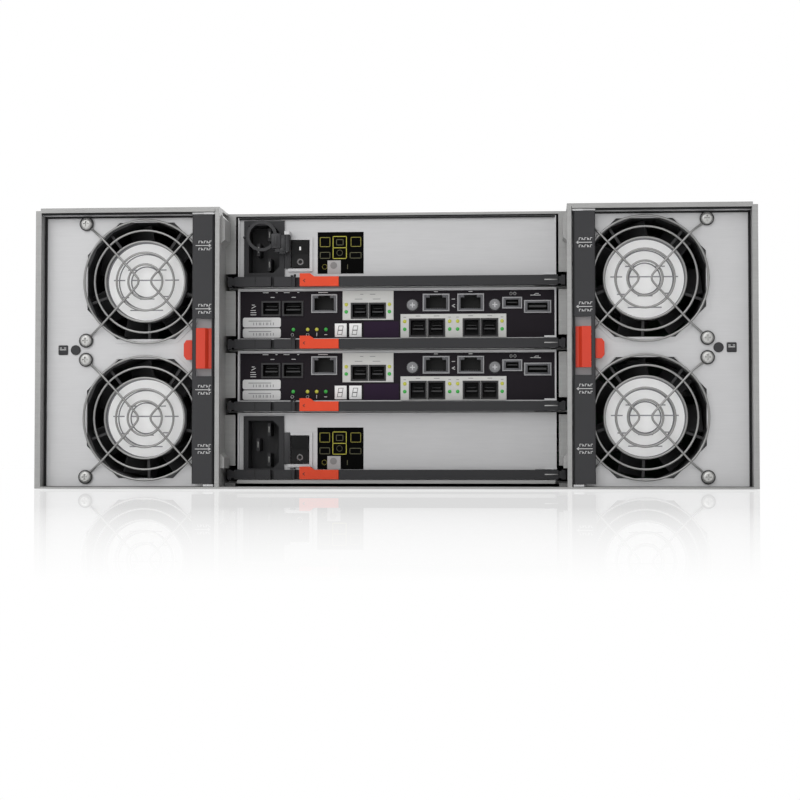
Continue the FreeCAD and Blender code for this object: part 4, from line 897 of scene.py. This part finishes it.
for name, base in (("lower_controller", 48.1), ("upper_controller", 87.4)):
    dress(name + "_ports", port_zinc)
    here = [(left, right, base + low, base + high) for left, right, low, high in port_places]
    pale = [(left, right, base + low, base + high) for left, right, low, high in plate_places]
    cuts = [grown(place, 0.15) for place in here + pale]
    cuts += [grown((x, x, base + thumb_rise, base + thumb_rise), 2.4) for x in thumb_places]
    sheet(name + "_overlay", (-99.2, 100.3, base + 7.4, base + 37.2), cuts, face_y - film, face_y, face_film,
          name)
    plates(name + "_tinted_window", [((-20.4, 1.6), (face_y - 0.2, face_y - 0.1), (base + 7.6, base + 17.8))],
           tinted_film, name)
    for index, outline in enumerate(pale):
        sheet(name + "_plate_face_%d" % (index + 1), outline, [grown(place, 0.1) for place in here],
              plate_y - film, plate_y, plate_paint, name)

    # the cages' dark mouths, with a grey tongue, and the paler frames of the network and USB ports
    mouths, tongues, frames = [], [], []
    frame_y, tongue_end = face_y - 0.95, -367.0
    for index in cages:
        left, right, low, high = here[index]
        middle = (low + high) / 2
        mouths += rim(grown(here[index], 0.15), 1.05, 1.05, 0.0, (-378.6, -366.0))
        tongues += [((left + 2.0, right - 2.0), (-375.5, tongue_end), (middle - 1.0, middle - 0.1)),
                    ((left + 2.6, right - 2.6), (-374.0, tongue_end), (middle + 1.4, middle + 1.8))]
    for index in usb_ports:
        left, right, low, high = here[index]
        tongues.append(((left + 3.0, right - 3.0), (-376.6, tongue_end), (low + 3.6, high - 3.0)))
        frames += rim(grown(here[index], -0.6), 1.6, 1.1, 0.1, (frame_y, -376.4))
    for index in network_ports:
        left, right, low, high = here[index]
        for i in range(8):
            pin = left + 4.0 + i * 1.1
            tongues.append(((pin, pin + 0.5), (-373.0, tongue_end), (low + 1.5, low + 2.6)))
        frames += rim((left + 0.6, right - 0.6, low + 0.6, high - 0.7), 1.4, 0.9, 0.1, (frame_y, -376.0))[:3]
        frames += [(x, (-378.4, -376.0), (high - 2.4, high - 0.7))
                   for x in ((left + 1.9, left + 4.4), (right - 4.4, right - 1.9))]
    backs = [((left, right), (-366.9, -366.7), (low, high))
             for left, right, low, high in (grown(place, -0.7) for place in here)]
    plates(name + "_cage_mouths", mouths, cage_dark, name)
    plates(name + "_port_tongues", tongues, tongue_grey, name)
    plates(name + "_port_backs", backs, port_dark, name)
    plates(name + "_port_frames", frames, port_lining, name, 0.15)

    for part, made, spots in (("green_pipes", pipe_green, green_spots), ("yellow_pipes", pipe_yellow, yellow_spots)):
        spots = [((x, (face_y if x < -35 else plate_y) - 0.1, base + z), (0, -1, 0)) for x, z in spots]
        fasten("%s_%s" % (name, part), pipe, spots, made, name)
    spots = [((x, face_y, base + thumb_rise), (0, -1, 0)) for x in thumb_places]
    fasten(name + "_thumb_screws", thumb_screw, spots, thumb_steel, name)
    fasten(name + "_thumb_collars", thumb_collar, spots, cage_dark, name)

    bm = bmesh.new()
    for low, high in ((14.4, 20.6), (7.8, 13.8)):
        slab(bm, (-97.5, -73.3), (face_y - 0.3, face_y - 0.1), (base + low, base + high))
    corners = [e for e in bm.edges if abs((e.verts[0].co - e.verts[1].co).y) > 0.1]
    bmesh.ops.bevel(bm, geom=corners, offset=1.2, segments=3, profile=0.5, affect="EDGES")
    piece = link_mesh(name + "_stickers", bm, sticker, 0)
    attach(piece, name)

    bars = flat_bars([(-93.6, -79.6, 18.4), (-93.6, -79.6, 11.8)], 0.0, base)
    for low in (base + 16.0, base + 9.4):
        for x in (-90.6 + i * 1.5 + i % 3 * 0.3 for i in range(9)):
            bars.append([(x, low), (x, low + 1.2)])
    strokes(name + "_sticker_bars", bars, 0.5, face_y - 0.36, grey_ink, name)
    tiles = [(x, (face_y - 0.6, face_y - 0.1), (base + 8.0, base + 16.6)) for x in ((-38.9, -31.4), (-29.7, -21.9))]
    plates(name + "_digit_tiles", tiles, tile_white, name, 0.1)
    digits = []
    lean, digit_middle = 0.17, 12.3
    for x in (-35.3, -26.0):
        for low, high in ((9.6, 12.2), (12.4, 15.0)):
            digits.append([(px + (pz - digit_middle) * lean, base + pz)
                           for px, pz in box_run(x - 1.5, x + 1.3, low, high)])
    strokes(name + "_digits", digits, 0.3, face_y - 0.7, digit_ink, name)
    strokes(name + "_white_marks", moved(flat_bars(white_bars) + white_signs, 0.0, base), 0.42, face_y - 0.24,
            white_ink, name)
    strokes(name + "_grey_marks", flat_bars(grey_bars, 0.0, base), 0.42, plate_y - 0.2, grey_ink, name)

# ---- drawers
# Five drive drawers: zinc-plated trays, cast aluminium drives with blank labels and lid screws,
# and black moulded bezels with rows of air slots, a pair of light pipes and two pull levers.
drive_finish = bright_steel("cast_aluminium_drive", "#A9ABAE", roughness=0.4)
tray_zinc = zinc_plate("zinc_plated_drawer_steel", "#BEBEBD", "#B0B0AF")
front_nylon = moulded("dark_grey_front_nylon", "#2C2C2E", roughness=0.42, peel=0.8)
bezel_black = moulded("black_bezel_nylon", "#18181A", roughness=0.45, peel=0.8)
# painted shade: the air slots are near-black patches on the bezel, standing for the dark inside of each opening
slot_painted_shade = moulded("air_slot_painted_shade", "#050505", roughness=0.8, sheen=0.1)
drive_label = moulded("blank_drive_label", "#D5D5D2", roughness=0.55)
sheet_steel, cover_z, drive_width, drive_gap = 1.2, 172.4, 101.6, 3.12
pitch = (cover_z - sheet_steel) / 5
drive_columns = [-211.0 + drive_gap + i * (drive_width + drive_gap) for i in range(4)]
drive_rows = [-71.4 + i * 152.63 for i in range(3)]
bezel_y = 398.7
bm = bmesh.new()
turned(bm, [(1.9, -0.3), (1.9, 0.15), (1.5, 0.35), (0.7, 0.35)], 12)
lid_screw = link_mesh("lid_screw", bm, rivet_steel, 40)
bm = bmesh.new()
slab(bm, (-1.1, 1.1), (-6.0, 6.0), (-0.3, 0.12), 0.1)
air_slot = link_mesh("air_slot", bm, slot_painted_shade, 0)
for row in range(5):
    name = "drawer_%d" % (row + 1)
    middle = sheet_steel + (row + 0.5) * pitch
    dress(name + "_tray", tray_zinc)
    dress(name + "_drives", drive_finish)
    dress(name + "_left_lever", front_nylon)
    dress(name + "_right_lever", front_nylon)
    lid_z = middle - pitch / 2 + 27.7
    labels, lid_screws = [], []
    for x in drive_columns:
        for y in drive_rows:
            labels.append(((x + 14, x + 88), (y + 26, y + 122), (lid_z, lid_z + 0.18)))
            lid_screws += [((x + dx, y + dy, lid_z + 0.1), (0, 0, 1)) for dx in (5.5, 96.1) for dy in (8, 73, 139)]
    plates(name + "_drive_labels", labels, drive_label, name)
    fasten(name + "_lid_screws", lid_screw, lid_screws, rivet_steel, name)
    plates(name + "_bezel_skin", [((-219.5, 219.5), (398.45, 398.75), (middle - 15.9, middle + 15.9))], bezel_black,
           name, 0.1)
    air_slots = [((-96 + i * 4, bezel_y, middle), (0, 1, 0)) for i in range(49)]
    fasten(name + "_air_slots", air_slot, air_slots, slot_painted_shade, name)
    fasten(name + "_front_pipes", pipe, [((-104.5, bezel_y, middle + dz), (0, 1, 0)) for dz in (-4, 4)],
           pipe_green, name)
for shape in (rivet, cover_screw, lid_screw, air_slot, pipe, thumb_screw, thumb_collar):
    bpy.data.objects.remove(shape)

low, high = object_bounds()
